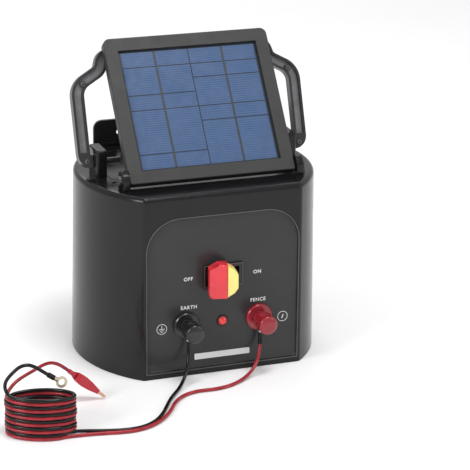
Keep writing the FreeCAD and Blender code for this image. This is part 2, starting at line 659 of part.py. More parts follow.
def makeTerminal(side, name):
    spot = Placement(Vector(side * value("terminalX"), 0, value("rowZ")), turns["-y"])
    collar = turned([("studRadius", "-wall + recessDepth"), ("bushRadius", "-wall + recessDepth"),
                     ("bushRadius", "0"), ("collarRadius", "0"),
                     ("collarRadius", "collarThick - collarSoft"),
                     ("collarRadius - collarSoft", "collarThick"), ("studRadius", "collarThick")])
    stud = turned([("0", "-studBack"), ("studRadius", "-studBack"), ("studRadius", "studFront"),
                   ("0", "studFront")])
    washer = turned([("studRadius + studClear", "collarThick + lugPlate"),
                     ("washerRadius", "collarThick + lugPlate"),
                     ("washerRadius", "collarThick + lugPlate + washerThick"),
                     ("studRadius + studClear", "collarThick + lugPlate + washerThick")])
    foot = "(collarThick + lugPlate + washerThick)"
    knob = turned([("studRadius + studClear", foot), ("knobNeck", foot), ("knobNeck", foot + " + 4"),
                   ("knobRadius", foot + " + 8"), ("knobRadius", foot + " + knobLength - knobDome"),
                   ("knobRadius - 1.6", foot + " + knobLength - 2.6"),
                   ("knobRadius - 4", foot + " + knobLength - 0.7"),
                   ("0", foot + " + knobLength"), ("0", "studFront + 1"),
                   ("studRadius + studClear", "studFront + 1")])
    plate = turned([("studRadius", "collarThick"), ("lugPlateRadius", "collarThick"),
                    ("lugPlateRadius", "collarThick + lugPlate"), ("studRadius", "collarThick + lugPlate")])
    pieces = {"_terminal_collar": collar, "_stud": stud, "_clamp_washer": washer, "_knob": knob}
    for ending, thing in pieces.items():
        thing.Placement = spot
        node(name + ending, seated(thing, faceFrame))
    plate.Placement = spot
    x = "%d * terminalX" % side
    barrel = rod("barrelRadius", "barrelFoot - barrelTop",
                 (x, "-collarThick - barrelSet", "rowZ - barrelFoot"))
    tongue = block("2 * barrelRadius", "lugPlate", "barrelTop - studRadius",
                   (x + " - barrelRadius", "-collarThick - lugPlate", "rowZ - barrelTop - 0.5"))
    lug = joined(plate, tongue, barrel)
    node(name + "_lead_lug", seated(lug, faceFrame))


def makeNuts():
    nuts = []
    for side in (-1, 1):
        across = value("nutAcross") / math.cos(math.radians(30)) / 2
        corners = [Vector(across * math.cos(math.radians(60 * k)), across * math.sin(math.radians(60 * k)), 0)
                   for k in range(6)]
        prism = Part.Face(Part.makePolygon(corners + corners[:1])).extrude(Vector(0, 0, value("nutThick")))
        prism = prism.cut(Part.makeCylinder(value("studRadius"), 20, Vector(0, 0, -5)))
        nut = copyOf(prism, "nut")
        nut.Placement = Placement(Vector(side * value("terminalX"), value("wall - recessDepth + nutThick"),
                                         value("rowZ")), turns["-y"])
        nuts.append(seated(nut, faceFrame))
    node("terminal_nuts", joined(*nuts))


# ---- leads ---------------------------------------------------------------------------------

def cordPath(points):
    """Straight runs through chosen points, each turn an arc as large as its runs allow."""
    corners = [Vector(*p) for p in points]
    radii = [0]
    for i in range(1, len(corners) - 1):
        back = corners[i - 1] - corners[i]
        ahead = corners[i + 1] - corners[i]
        turn = math.pi - back.getAngle(ahead)
        radii.append(0.45 * min(back.Length, ahead.Length) / math.tan(turn / 2))
    radii.append(0)
    print("arc radii:", [round(r, 1) for r in radii[1:-1]])
    return Part.Wire(roundedEdges(corners, radii, False))


def tube(points, radius, name):
    """A cord of even thickness along its path."""
    path = cordPath(points)
    along = (Vector(*points[1]) - Vector(*points[0])).normalize()
    section = Part.Wire(Part.makeCircle(radius, Vector(*points[0]), along))
    solid = path.makePipeShell([section], True, False)
    ratio = solid.Volume / (math.pi * radius * radius * path.Length)
    print("%s: length %.1f, volume ratio %.4f" % (name, path.Length, ratio))
    return solid


def leadStart(side, drop):
    """A point below a terminal's crimp barrel, by its distance down from the stud."""
    local = Vector(side * value("terminalX"), -value("collarThick + barrelSet"), value("rowZ") - drop)
    point = faceFrame.multVec(local)
    return (point.x, point.y, point.z)


def turnedTo(start, direction, flat):
    """A frame whose x axis runs along a direction and whose z axis leans to another."""
    along = Vector(*direction).normalize()
    side = Vector(*flat).cross(along).normalize()
    rise = along.cross(side)
    return Placement(Vector(*start), Rotation(along, side, rise, "XYZ"))


def clipFrame():
    """Rear of the clip at the origin, nose along x, pin along z, jaws parting along y."""
    start = Vector(value("clipX"), value("clipY"), value("clipZ"))
    nose = Vector(value("noseX"), value("noseY"), value("noseZ"))
    return turnedTo(tuple(start), tuple(nose - start), (-0.63, -0.14, -0.71))


def clipEntry(behind):
    """A point on the axis of the clip's neck, by its distance behind the neck."""
    point = clipFrame().multVec(Vector(-behind, -value("clipSplay + 0.2"), 0))
    return (point.x, point.y, point.z)


low = value("leadRadius")
apart = value("2.4 * leadRadius - 3.6")   # a thicker lead lies further from its neighbour
earthRoute = [leadStart(-1, value("barrelFoot")), (-33.5, -87, 28), (-35, -90.5, 18.5), (-38.5, -96, 10),
              (-44.5, -103, 3.6), (-52, -112.5, low), (-62, -125, low), (-71, -140, low), (-80, -155.5, low),
              (-90.5, -168, low), (-104, -175.5, low), (-120, -176, low), (-136, -172, low),
              (-151, -169.8, low + 1), (-164.5, -171.2, low + 3.1)]
fenceRoute = [leadStart(1, value("barrelFoot")), (33, -87, 27), (31, -90.5, 17.5), (26, -96, 9),
              (17.5, -102.5, 3.4), (6, -110.5, low), (-7.5, -118, low), (-22, -120.5, low), (-36, -119, low),
              (-50, -123.5 - apart, low), (-62, -135 - apart, low), (-70.5, -150 - apart, low),
              (-81, -163.5 - apart, low), (-93.5, -174 - apart, low), (-108, -179.8 - apart, low),
              (-123.5, -179.5 - apart, low), (-138.5, -176.3 - apart, low), (-153, -174.6, low),
              (-167, -173.4, low)]
earthTail = [(-211.5, -149, 33.5), (-212.3, -150, 39.5), (-211, -151.3, 47), (-207.5, -152.4, 54),
             (-202, -153, 59), (-195, -153.2, 60.5), (-188.4, -153.6, 57.5), (-183, -154.2, 53.4),
             (-178.2, -154.7, 49.9)]
fenceTail = [(-209.6, -143.2, 30.5), (-206.4, -141, 37.2), (-200, -137, 40), (-191.3, -131, 41.4),
             (-181.2, -123.8, 41.9), (-171.5, -114.6, 41.6), (-163.3, -106.8, 39.4), (-156.2, -101.2, 35.4),
             clipEntry(6.5), clipEntry(0)]


def makeLeads():
    node("earth_lead", copyOf(tube(earthRoute, low, "earth lead"), "earthLead"))
    node("fence_lead", copyOf(tube(fenceRoute, low, "fence lead"), "fenceLead"))
    node("earth_tail", copyOf(tube(earthTail, low, "earth tail"), "earthTail"))
    node("fence_tail", copyOf(tube(fenceTail, low, "fence tail"), "fenceTail"))


def makeCoil():
    """The standing coil as one closed ring of its outer shape."""
    def oval(long, short):
        ellipse = Part.Ellipse(Vector(0, 0, 0), long, short)
        return Part.Face(Part.Wire(ellipse.toShape())).extrude(Vector(0, 0, value("coilHeight")))
    outer = oval(value("coilLong + leadRadius"), value("coilShort + leadRadius"))
    inner = oval(value("coilLong - leadRadius"), value("coilShort - leadRadius"))
    coil = copyOf(outer.cut(inner), "coil")
    coil.Placement = Placement(Vector(value("coilX"), value("coilY"), 0),
                               Rotation(Vector(0, 0, 1), value("coilTurn")))
    node("lead_coil", coil)


def makeRingTerminal():
    tip = Vector(value("ringX"), value("ringY"), value("ringZ"))
    end = Vector(*earthTail[-1])
    frame = turnedTo(tuple(tip), tuple(tip - end), (0, -1, 0.1))
    reach = (tip - end).Length
    plate = rod("ringRadius", "ringThick", ("0", "0", "-ringThick / 2"))
    hole = rod("ringHole", "10", ("0", "0", "-5"))
    barrelLength = reach - value("ringRadius") + 1
    barrel = copyOf(Part.makeCylinder(value("ringBarrel"), barrelLength - value("ringSleeveLength") + 1,
                                      Vector(-value("ringRadius") + 1, 0, 0), Vector(-1, 0, 0)), "barrel")
    node("ring_terminal", seated(less(joined(plate, barrel), hole), frame))
    sleeveStart = -value("ringRadius") + 1 - (barrelLength - value("ringSleeveLength") + 1)
    sleeve = Part.makeCylinder(value("ringSleeve"), reach + sleeveStart, Vector(sleeveStart, 0, 0),
                               Vector(-1, 0, 0))
    node("ring_terminal_sleeve", seated(copyOf(sleeve, "sleeve"), frame))


# ---- spring clip ---------------------------------------------------------------------------

def makeClip():
    """Two sprung halves: sleeved levers behind, bare jaws in front."""
    def jaw(side):
        gap = "%d * clipGap / 2" % side
        nose = "%d * clipNose" % side
        return padded("XY_Plane", [("jawRoot", gap), ("clipLength", gap), ("clipLength", nose),
                                   ("bootLength", "%d * (clipNose + 0.5)" % side),
                                   ("jawRoot", "%d * (clipNose + 0.9)" % side)], "2 * jawTall")

    def lever(side, back):
        gap = "%d * clipGap / 2" % side
        return padded("XY_Plane", [(back, "%d * clipSplay" % side), ("clipPivot", gap),
                                   ("bootLength", gap), ("bootLength", "%d * (clipNose + 1)" % side),
                                   ("clipPivot + 3", "%d * (clipDepth - 0.8)" % side),
                                   ("clipPivot - 7", "%d * clipDepth" % side),
                                   (back, "%d * (clipSplay + 1.2)" % side)], "4 * clipHalf")

    frame = clipFrame()
    for side, name, back, clear in ((-1, "clip_fixed", "clipBack", "0"),
                                    (1, "clip_moving", "clipBack + 3", "clipPinClear")):
        leaf = padded("XZ_Plane", [("clipBack", "-neckRadius"), ("clipBack + 5", "-clipHalf + 0.5"),
                                   ("clipBack + 10", "-clipHalf"), ("clipPivot + 4", "-clipHalf + 0.8"),
                                   ("bootLength", "-jawTall - 0.6"), ("bootLength", "jawTall + 0.6"),
                                   ("clipPivot + 4", "clipHalf - 0.8"), ("clipBack + 10", "clipHalf"),
                                   ("clipBack + 5", "clipHalf - 0.5"), ("clipBack", "neckRadius")],
                      "6 * clipHalf")
        hollow = rod("springRadius + 0.2", "2 * springTall + 0.4", ("clipPivot", "0", "-springTall - 0.2"))
        bore = rod("clipPin + " + clear, "4 * clipHalf", ("clipPivot", "0", "-2 * clipHalf"))
        sleeve = less(shared(lever(side, back), leaf), jaw(side), bore, hollow)
        if side < 0:
            sleeve = joined(sleeve, rod("neckRadius", "clipBack + 2", ("0", "-clipSplay - 0.2", "0"), "x"))
        node(name + "_sleeve", seated(sleeve, frame))
        node(name + "_jaw", seated(jaw(side), frame))
    node("clip_pin", seated(rod("clipPin", "2 * pinHalf", ("clipPivot", "0", "-pinHalf")), frame))
    coil = less(rod("springRadius", "2 * springTall", ("clipPivot", "0", "-springTall")),
                rod("clipPin", "10", ("clipPivot", "0", "-5")))
    node("clip_spring", seated(coil, frame))


def makeSleeve():
    """Shrunk sleeve over the top of the fence lead, along the lead's own path."""
    short = Part.Wire(cordPath(fenceRoute).Edges[:2])
    start = short.Edges[0].Vertexes[0].Point
    along = (Vector(*fenceRoute[1]) - start).normalize()
    rings = [Part.Wire(Part.makeCircle(value(text), start, along)) for text in ("leadRadius + sleeveWall",
                                                                               "leadRadius")]
    outer, inner = [short.makePipeShell([ring], True, False) for ring in rings]
    node("fence_lead_sleeve", copyOf(outer.cut(inner), "leadSleeve"))


# ---- parts inside the housing --------------------------------------------------------------

def makeBattery():
    case = block("batteryWide", "batteryDeep", "batteryTall",
                 ("-batteryWide / 2", "batteryFront", "baseThick"))
    top = value("baseThick + batteryTall")
    case = softened(case, "2", lambda b: b.ZLength > 50 or b.ZMin > top - 0.01)
    tabs = [block("0.8", "5", "tabTall",
                  ("%d * batteryWide / 3" % side, "batteryFront + 6", "baseThick + batteryTall"))
            for side in (-1, 1)]
    node("battery", joined(case, *tabs))
    wide = "(batteryWide + 2 * strapThick)"
    middle = "batteryFront + batteryDeep / 2 - strapWide / 2"
    bow = less(block(wide, "strapWide", "batteryTall + strapThick", ("-%s / 2" % wide, middle, "baseThick")),
               block("batteryWide", "strapWide + 2", "batteryTall",
                     ("-batteryWide / 2", middle + " - 1", "baseThick")))
    feet = [block("strapFoot", "strapWide", "strapThick",
                  ("-%s / 2 - strapFoot" % wide if side < 0 else "%s / 2" % wide, middle, "baseThick"))
            for side in (-1, 1)]
    spots = [("%d * (batteryWide / 2 + strapThick + strapFoot / 2)" % side, middle + " + strapWide / 2")
             for side in (-1, 1)]
    holes = [rod("screwRadius + 0.1", "10", (x, y, "baseThick - 1")) for x, y in spots]
    node("battery_strap", less(joined(bow, *feet), *holes))
    node("strap_screws", joined(*[joined(rod("headRadius", "headThick", (x, y, "baseThick + strapThick")),
                                         rod("screwRadius", "strapThick", (x, y, "baseThick")))
                                  for x, y in spots]))


def boardCorners():
    return [("%d * (boardWide / 2 - boardInset)" % sx, "boardFront + " + y) for sx in (-1, 1)
            for y in ("boardInset", "boardDeep - boardInset")]


def makeBoard():
    under = "baseThick + boardRise"
    board = block("boardWide", "boardDeep", "boardThick", ("-boardWide / 2", "boardFront", under))
    holes = [rod("screwRadius + 0.1", "20", (x, y, under + " - 5")) for x, y in boardCorners()]
    node("circuit_board", less(board, *holes))
    posts = [less(rod("standoffRadius", "boardRise", (x, y, "baseThick")),
                  rod("screwRadius", "boardRise", (x, y, "baseThick + 2"))) for x, y in boardCorners()]
    node("board_standoffs", joined(*posts))
    node("board_screws", joined(*[joined(rod("headRadius", "headThick", (x, y, under + " + boardThick")),
                                         rod("screwRadius", "boardThick + 4", (x, y, under + " - 4")))
                                  for x, y in boardCorners()]))
    top = under + " + boardThick"
    core = less(block("coreWide", "coreDeep", "coreTall", ("-boardWide / 2 + 12", "boardFront + 12", top)),
                block("coreWide - 12", "coreDeep + 2", "coreTall - 12",
                      ("-boardWide / 2 + 18", "boardFront + 11", top + " + 6")))
    node("pulse_transformer_core", core)
    winding = block("coreWide - 12", "coreDeep + 6", "coreTall - 12",
                    ("-boardWide / 2 + 18", "boardFront + 9", top + " + 6"))
    long = value("coreDeep")
    node("pulse_transformer_winding", softened(winding, "3", lambda b: b.YLength > long))
    can = turned([("0", "0"), ("capacitorRadius", "0"), ("capacitorRadius", "capacitorTall"),
                  ("0", "capacitorTall")])
    can.Placement = Placement(Vector(value("boardWide / 2 - 22"), value("boardFront + boardDeep / 2"),
                                     value(top)), Rotation())
    node("storage_capacitor", can)


makeHousing()
makeLid()
makeDeckScrews()
makeBase()
makeHangingPlate()
makePanel()
makeLugs()
makeGrommet()
makeHandle()
makePosts()
makeSwitch()
makeLamp()
makeTerminal(-1, "earth")
makeTerminal(1, "fence")
makeNuts()
makeLeads()
makeCoil()
makeSleeve()
makeRingTerminal()
makeClip()
makeBattery()
makeBoard()
doc.recompute()

for thing in doc.Objects:
    if "Invalid" in thing.State or "Error" in thing.State:
        raise RuntimeError("%s (%s) failed: %s" % (thing.Name, thing.Label, thing.State))
for label, thing in nodes.items():
    if thing.Shape.isNull() or not thing.Shape.isValid() or thing.Shape.Volume <= 0:
        raise RuntimeError("%s has no valid solid" % label)

os.makedirs("parts", exist_ok=True)
for label, thing in nodes.items():
    thing.Shape.exportStep("parts/%s.step" % label)
print("nodes written:", len(nodes))
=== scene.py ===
# Solar fence energizer: finishes, cords, cells, knobs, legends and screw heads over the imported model.
import bpy
import json
from math import cos, pi, radians, sin
from mathutils import Matrix, Vector


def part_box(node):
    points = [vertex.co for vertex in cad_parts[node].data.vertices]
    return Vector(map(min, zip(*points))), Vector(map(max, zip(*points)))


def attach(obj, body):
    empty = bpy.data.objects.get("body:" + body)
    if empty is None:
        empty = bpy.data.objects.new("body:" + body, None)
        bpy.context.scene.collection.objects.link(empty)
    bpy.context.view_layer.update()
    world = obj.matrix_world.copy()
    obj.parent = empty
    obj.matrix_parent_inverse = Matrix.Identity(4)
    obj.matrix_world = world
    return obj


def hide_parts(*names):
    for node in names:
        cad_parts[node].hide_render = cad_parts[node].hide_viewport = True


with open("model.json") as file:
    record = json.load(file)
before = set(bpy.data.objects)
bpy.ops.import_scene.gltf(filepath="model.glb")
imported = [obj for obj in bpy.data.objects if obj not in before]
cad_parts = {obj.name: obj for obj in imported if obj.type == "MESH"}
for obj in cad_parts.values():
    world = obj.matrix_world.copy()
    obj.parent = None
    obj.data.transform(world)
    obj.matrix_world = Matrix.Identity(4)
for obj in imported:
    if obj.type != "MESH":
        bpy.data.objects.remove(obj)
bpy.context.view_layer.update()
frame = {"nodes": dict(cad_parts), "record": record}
mm = 0.001
scene = bpy.context.scene
weld = 0.002 * mm       # points nearer than this are one
cutWidth = 0.001 * mm   # how near a cut a point counts as on it


def leaning(y, z, degrees):
    return Matrix.Translation((0, y * mm, z * mm)) @ Matrix.Rotation(radians(degrees), 4, "X")


# The front face, the solar panel and the handle, each with x to the right, y up it and z out of it
faceMatrix = leaning(-79.9, 0, 89.198)
panelMatrix = leaning(-48.3, 173.5, 53)
handleMatrix = leaning(0, 177, 69.8)

# Camera and light

cameraSet = {
    "place": (-0.6021, -1.7114, 0.7379),
    "yaw": 20.575, "pitch": 19.379, "roll": 0.910,
    "lens": 164.24, "sensor": 36, "farthest": 30,
}


def addCamera(s):
    yaw, pitch, roll = [radians(s[key]) for key in ("yaw", "pitch", "roll")]
    ahead = Vector((sin(yaw) * cos(pitch), cos(yaw) * cos(pitch), -sin(pitch)))
    right = Vector((cos(yaw), -sin(yaw), 0))
    up = right.cross(ahead)
    rightTurned = right * cos(roll) + up * sin(roll)
    upTurned = up * cos(roll) - right * sin(roll)
    data = bpy.data.cameras.new("camera")
    data.lens = s["lens"]
    data.sensor_width = s["sensor"]
    data.clip_end = s["farthest"]
    camera = bpy.data.objects.new("camera", data)
    turn = Matrix((rightTurned, upTurned, -ahead)).transposed().to_4x4()
    camera.matrix_world = Matrix.Translation(s["place"]) @ turn
    scene.collection.objects.link(camera)
    scene.camera = camera


lightSet = {
    "worldColour": (1.0, 1.0, 1.0, 1), "worldStrength": 0.6,
    "floorColour": (0.93, 0.93, 0.935), "floorSize": 14, "floorHeight": -0.0002,
    # name: place, where it points, size, watts
    "lamps": {
        "keyLight": ((-1.7, -0.75, 1.0), (0, 0, 0.1), 0.7, 16),
        "topLight": ((0.15, -0.5, 1.9), (0, 0, 0.12), 0.6, 15),
        "fillLight": ((1.6, -1.2, 1.1), (0, 0, 0.1), 0.9, 5),
        "backLight": ((0.3, 1.6, 1.5), (0, 0, 0.15), 1.2, 9),
    },
}


def addStudio(s):
    world = bpy.data.worlds.new("studio")
    world.use_nodes = True
    sky = world.node_tree.nodes["Background"]
    sky.inputs["Color"].default_value = s["worldColour"]
    sky.inputs["Strength"].default_value = s["worldStrength"]
    scene.world = world
    for name, (place, target, size, watts) in s["lamps"].items():
        data = bpy.data.lights.new(name, "AREA")
        data.size = size
        data.energy = watts
        lamp = bpy.data.objects.new(name, data)
        lamp.location = place
        aim = Vector(target) - Vector(place)
        lamp.rotation_euler = aim.to_track_quat("-Z", "Y").to_euler()
        scene.collection.objects.link(lamp)
    bpy.ops.object.select_all(action="DESELECT")
    bpy.ops.mesh.primitive_plane_add(size=s["floorSize"], location=(0, 0, s["floorHeight"]))
    floor = bpy.context.object
    floor.name = "floor"
    floor.data.materials.append(floorMaterial(s["floorColour"]))
    scene.view_settings.view_transform = "Standard"


# Finishes. Each has its colour drift, its own roughness drift and a fine surface grain.

def startMaterial(name):
    material = bpy.data.materials.new(name)
    material.use_nodes = True
    nodes = material.node_tree.nodes
    place = nodes.new("ShaderNodeTexCoord")
    return material, nodes, material.node_tree.links, nodes["Principled BSDF"], place.outputs["Object"]


noiseLow, noiseHigh = 0.3, 0.7   # nearly all of a noise lies between these


def addNoise(nodes, links, where, scale, detail=3.0):
    noise = nodes.new("ShaderNodeTexNoise")
    noise.inputs["Scale"].default_value = scale
    noise.inputs["Detail"].default_value = detail
    links.new(where, noise.inputs["Vector"])
    return noise.outputs["Fac"]


def addRange(nodes, links, source, low, high):
    spread = nodes.new("ShaderNodeMapRange")
    spread.inputs["From Min"].default_value = noiseLow
    spread.inputs["From Max"].default_value = noiseHigh
    spread.inputs["To Min"].default_value = low
    spread.inputs["To Max"].default_value = high
    links.new(source, spread.inputs["Value"])
    return spread.outputs["Result"]


def addRamp(nodes, links, source, first, last, low=noiseLow, high=noiseHigh):
    ramp = nodes.new("ShaderNodeValToRGB")
    ramp.color_ramp.elements[0].position = low
    ramp.color_ramp.elements[0].color = (*first, 1)
    ramp.color_ramp.elements[1].position = high
    ramp.color_ramp.elements[1].color = (*last, 1)
    links.new(source, ramp.inputs["Fac"])
    return ramp.outputs["Color"]


def addBump(nodes, links, height, depth, strength=1.0, under=None):
    bump = nodes.new("ShaderNodeBump")
    bump.inputs["Strength"].default_value = strength
    bump.inputs["Distance"].default_value = depth
    links.new(height, bump.inputs["Height"])
    if under:
        links.new(under, bump.inputs["Normal"])
    return bump.outputs["Normal"]


def addMath(nodes, links, kind, first, second=None):
    node = nodes.new("ShaderNodeMath")
    node.operation = kind
    for socket, given in zip(node.inputs, (first, second)):
        if isinstance(given, (int, float)):
            socket.default_value = given
        elif given:
            links.new(given, socket)
    return node.outputs["Value"]


def mixColours(nodes, links, share, first, last):
    # share picks from first at 0 to last at 1; either is a colour or a socket
    mixed = nodes.new("ShaderNodeMix")
    mixed.data_type = "RGBA"
    links.new(share, mixed.inputs[0])
    for socket, given in ((mixed.inputs[6], first), (mixed.inputs[7], last)):
        if isinstance(given, tuple):
            socket.default_value = (*given, 1)
        else:
            links.new(given, socket)
    return mixed.outputs[2]


def turnPlaces(nodes, links, source, slide, turn):
    turned = nodes.new("ShaderNodeMapping")
    turned.inputs["Location"].default_value = slide
    turned.inputs["Rotation"].default_value = turn
    links.new(source, turned.inputs["Vector"])
    return turned.outputs["Vector"]


def lighter(colour, share):
    return tuple(min(1.0, part * share) for part in colour)


def floorMaterial(colour):
    material, nodes, links, shader, where = startMaterial("studioFloor")
    grain = addNoise(nodes, links, where, 6)
    links.new(addRamp(nodes, links, grain, colour, lighter(colour, 1.015)), shader.inputs["Base Color"])
    shader.inputs["Roughness"].default_value = 0.75
    return material


def mouldedPlastic(name, colour, rough=(0.16, 0.24), grain=900, depth=0.000004, wave=0.00003, coat=0.0):
    # wave is the slow unevenness of a moulded wall; grain and depth are the fine texture of the tool
    material, nodes, links, shader, where = startMaterial(name)
    drift = addNoise(nodes, links, where, 28, 4)
    links.new(addRamp(nodes, links, drift, colour, lighter(colour, 1.35)), shader.inputs["Base Color"])
    smear = addNoise(nodes, links, where, 75, 5)
    links.new(addRange(nodes, links, smear, *rough), shader.inputs["Roughness"])
    slow = addBump(nodes, links, addNoise(nodes, links, where, 22, 1), wave)
    fine = addBump(nodes, links, addNoise(nodes, links, where, grain, 2), depth, 1.0, slow)
    links.new(fine, shader.inputs["Normal"])
    shader.inputs["Coat Weight"].default_value = coat
    shader.inputs["Coat Roughness"].default_value = 0.08
    return material


def sheetMetal(name, colour, rough=(0.28, 0.42), stretch=(1, 1, 30), scale=160, metallic=1.0):
    material, nodes, links, shader, where = startMaterial(name)
    stretched = nodes.new("ShaderNodeMapping")
    stretched.inputs["Scale"].default_value = stretch
    links.new(where, stretched.inputs["Vector"])
    streak = addNoise(nodes, links, stretched.outputs["Vector"], scale, 4)
    links.new(addRamp(nodes, links, streak, lighter(colour, 0.8), lighter(colour, 1.1)),
              shader.inputs["Base Color"])
    links.new(addRange(nodes, links, streak, *rough), shader.inputs["Roughness"])
    links.new(addBump(nodes, links, streak, 0.00001, 0.5), shader.inputs["Normal"])
    shader.inputs["Metallic"].default_value = metallic
    return material


def powderCoat(name, colour):
    material, nodes, links, shader, where = startMaterial(name)
    orange = addNoise(nodes, links, where, 1400, 2)
    links.new(addRamp(nodes, links, addNoise(nodes, links, where, 40), colour, lighter(colour, 1.4)),
              shader.inputs["Base Color"])
    links.new(addRange(nodes, links, orange, 0.34, 0.5), shader.inputs["Roughness"])
    links.new(addBump(nodes, links, orange, 0.00002, 0.7), shader.inputs["Normal"])
    return material


def softJacket(name, colour, sheen=0.0):
    # cord jacket: drawn vinyl, a little dusty, with faint rings from the reel
    material, nodes, links, shader, where = startMaterial(name)
    dust = addNoise(nodes, links, where, 120, 5)
    links.new(addRamp(nodes, links, dust, lighter(colour, 0.8), lighter(colour, 1.35)),
              shader.inputs["Base Color"])
    links.new(addRange(nodes, links, dust, 0.17, 0.3), shader.inputs["Roughness"])
    drawn = addNoise(nodes, links, where, 700, 3)
    links.new(addBump(nodes, links, drawn, 0.00003, 0.6), shader.inputs["Normal"])
    shader.inputs["Sheen Weight"].default_value = sheen
    shader.inputs["Specular IOR Level"].default_value = 0.35
    return material


def printedInk(name, colour):
    material, nodes, links, shader, where = startMaterial(name)
    speck = addNoise(nodes, links, where, 2200, 3)
    links.new(addRamp(nodes, links, speck, lighter(colour, 0.88), colour), shader.inputs["Base Color"])
    links.new(addRange(nodes, links, speck, 0.4, 0.6), shader.inputs["Roughness"])
    links.new(addBump(nodes, links, speck, 0.000006, 0.5), shader.inputs["Normal"])
    return material


fingerPitch = 2.1 * mm


def siliconCell(name, dark, pale, fingerColour):
    # crystal flakes under fine silver fingers, below clear resin, all in the panel's own frame
    material, nodes, links, shader, where = startMaterial(name)
    back = panelMatrix.inverted()
    local = turnPlaces(nodes, links, where, back.translation, back.to_euler())
    flake = nodes.new("ShaderNodeTexVoronoi")
    flake.inputs["Scale"].default_value = 170
    links.new(local, flake.inputs["Vector"])
    split = nodes.new("ShaderNodeSeparateColor")
    links.new(flake.outputs["Color"], split.inputs["Color"])
    crystal = addRamp(nodes, links, split.outputs["Red"], dark, pale, 0.0, 1.0)
    lines = nodes.new("ShaderNodeTexWave")
    lines.bands_direction = "Y"
    lines.inputs["Scale"].default_value = 2 * pi / (20 * fingerPitch)
    lines.inputs["Distortion"].default_value = 0
    links.new(local, lines.inputs["Vector"])
    mask = addRamp(nodes, links, lines.outputs["Fac"], (0, 0, 0), (1, 1, 1), 0.9, 0.99)
    links.new(mixColours(nodes, links, mask, crystal, fingerColour), shader.inputs["Base Color"])
    smear = addNoise(nodes, links, local, 60)
    links.new(addRange(nodes, links, smear, 0.14, 0.24), shader.inputs["Roughness"])
    slow = addNoise(nodes, links, local, 14, 1)
    links.new(addBump(nodes, links, slow, 0.00008), shader.inputs["Normal"])
    shader.inputs["Coat Weight"].default_value = 0.6
    shader.inputs["Coat Roughness"].default_value = 0.07
    return material


# the recess of the front: the middles and radius of its two round corners, its foot and how far forward it is
recess = {"cornerX": 40.0, "cornerZ": 115.0, "radius": 28.8, "foot": 6.2, "front": -76.5}


def insideFace(nodes, links, where, s):
    # 1 inside the arched recess of the front, 0 on the frame round it
    parts = nodes.new("ShaderNodeSeparateXYZ")
    links.new(where, parts.inputs["Vector"])
    x, y, z = parts.outputs["X"], parts.outputs["Y"], parts.outputs["Z"]

    def work(kind, first, second=None):
        return addMath(nodes, links, kind, first, second)

    across = work("MAXIMUM", work("SUBTRACT", work("ABSOLUTE", x), s["cornerX"] * mm), 0.0)
    upward = work("MAXIMUM", work("SUBTRACT", z, s["cornerZ"] * mm), 0.0)
    squares = work("ADD", work("MULTIPLY", across, across), work("MULTIPLY", upward, upward))
    arch = work("LESS_THAN", work("SQRT", squares), s["radius"] * mm)
    foot = work("GREATER_THAN", z, s["foot"] * mm)
    front = work("LESS_THAN", y, s["front"] * mm)
    return work("MULTIPLY", work("MULTIPLY", arch, foot), front)


def housingPlastic(name, colour, faceColour):
    # polished drum and frame, with the recessed face a shade paler and more satin
    material, nodes, links, shader, where = startMaterial(name)
    drift = addNoise(nodes, links, where, 28, 4)
    mask = insideFace(nodes, links, where, recess)
    frameShade = addRamp(nodes, links, drift, colour, lighter(colour, 1.35))
    faceShade = addRamp(nodes, links, drift, faceColour, lighter(faceColour, 1.15))
    links.new(mixColours(nodes, links, mask, frameShade, faceShade), shader.inputs["Base Color"])
    smear = addNoise(nodes, links, where, 75, 5)
    gloss = nodes.new("ShaderNodeMix")
    links.new(mask, gloss.inputs[0])
    links.new(addRange(nodes, links, smear, 0.13, 0.21), gloss.inputs[2])
    links.new(addRange(nodes, links, smear, 0.2, 0.27), gloss.inputs[3])
    links.new(gloss.outputs[0], shader.inputs["Roughness"])
    edge = nodes.new("ShaderNodeBevel")   # the moulding's edges shine rounder than the shell's own
    edge.samples = 4
    edge.inputs["Radius"].default_value = 2.2 * mm
    wave = addNoise(nodes, links, where, 22, 1)
    slow = addBump(nodes, links, wave, 0.00003, 1.0, edge.outputs["Normal"])
    fine = addBump(nodes, links, addNoise(nodes, links, where, 900, 2), 0.000004, 1.0, slow)
    links.new(fine, shader.inputs["Normal"])
    shader.inputs["Specular IOR Level"].default_value = 0.31
    return material


webHalf = 2.1 * mm    # the web lies this far to each side of the handle's middle plane
webFacing = 0.8       # and faces out of that plane at least this squarely


def handlePlastic(name, colour, webColour):
    # the bottom of the moulded channel is coloured paler than its flanges
    material, nodes, links, shader, where = startMaterial(name)
    back = handleMatrix.inverted()
    normal = nodes["Texture Coordinate"].outputs["Normal"]
    found = []
    for source, slide in ((where, back.translation), (normal, (0, 0, 0))):
        parts = nodes.new("ShaderNodeSeparateXYZ")
        links.new(turnPlaces(nodes, links, source, slide, back.to_euler()), parts.inputs["Vector"])
        found.append(addMath(nodes, links, "ABSOLUTE", parts.outputs["Z"]))
    low = addMath(nodes, links, "LESS_THAN", found[0], webHalf)
    flat = addMath(nodes, links, "GREATER_THAN", found[1], webFacing)
    web = addMath(nodes, links, "MULTIPLY", low, flat)
    drift = addNoise(nodes, links, where, 60, 4)
    rimShade = addRamp(nodes, links, drift, colour, lighter(colour, 1.4))
    webShade = addRamp(nodes, links, drift, webColour, lighter(webColour, 1.5))
    links.new(mixColours(nodes, links, web, rimShade, webShade), shader.inputs["Base Color"])
    links.new(addRange(nodes, links, drift, 0.2, 0.34), shader.inputs["Roughness"])
    fine = addNoise(nodes, links, where, 800, 2)
    links.new(addBump(nodes, links, fine, 0.000008), shader.inputs["Normal"])
    return material


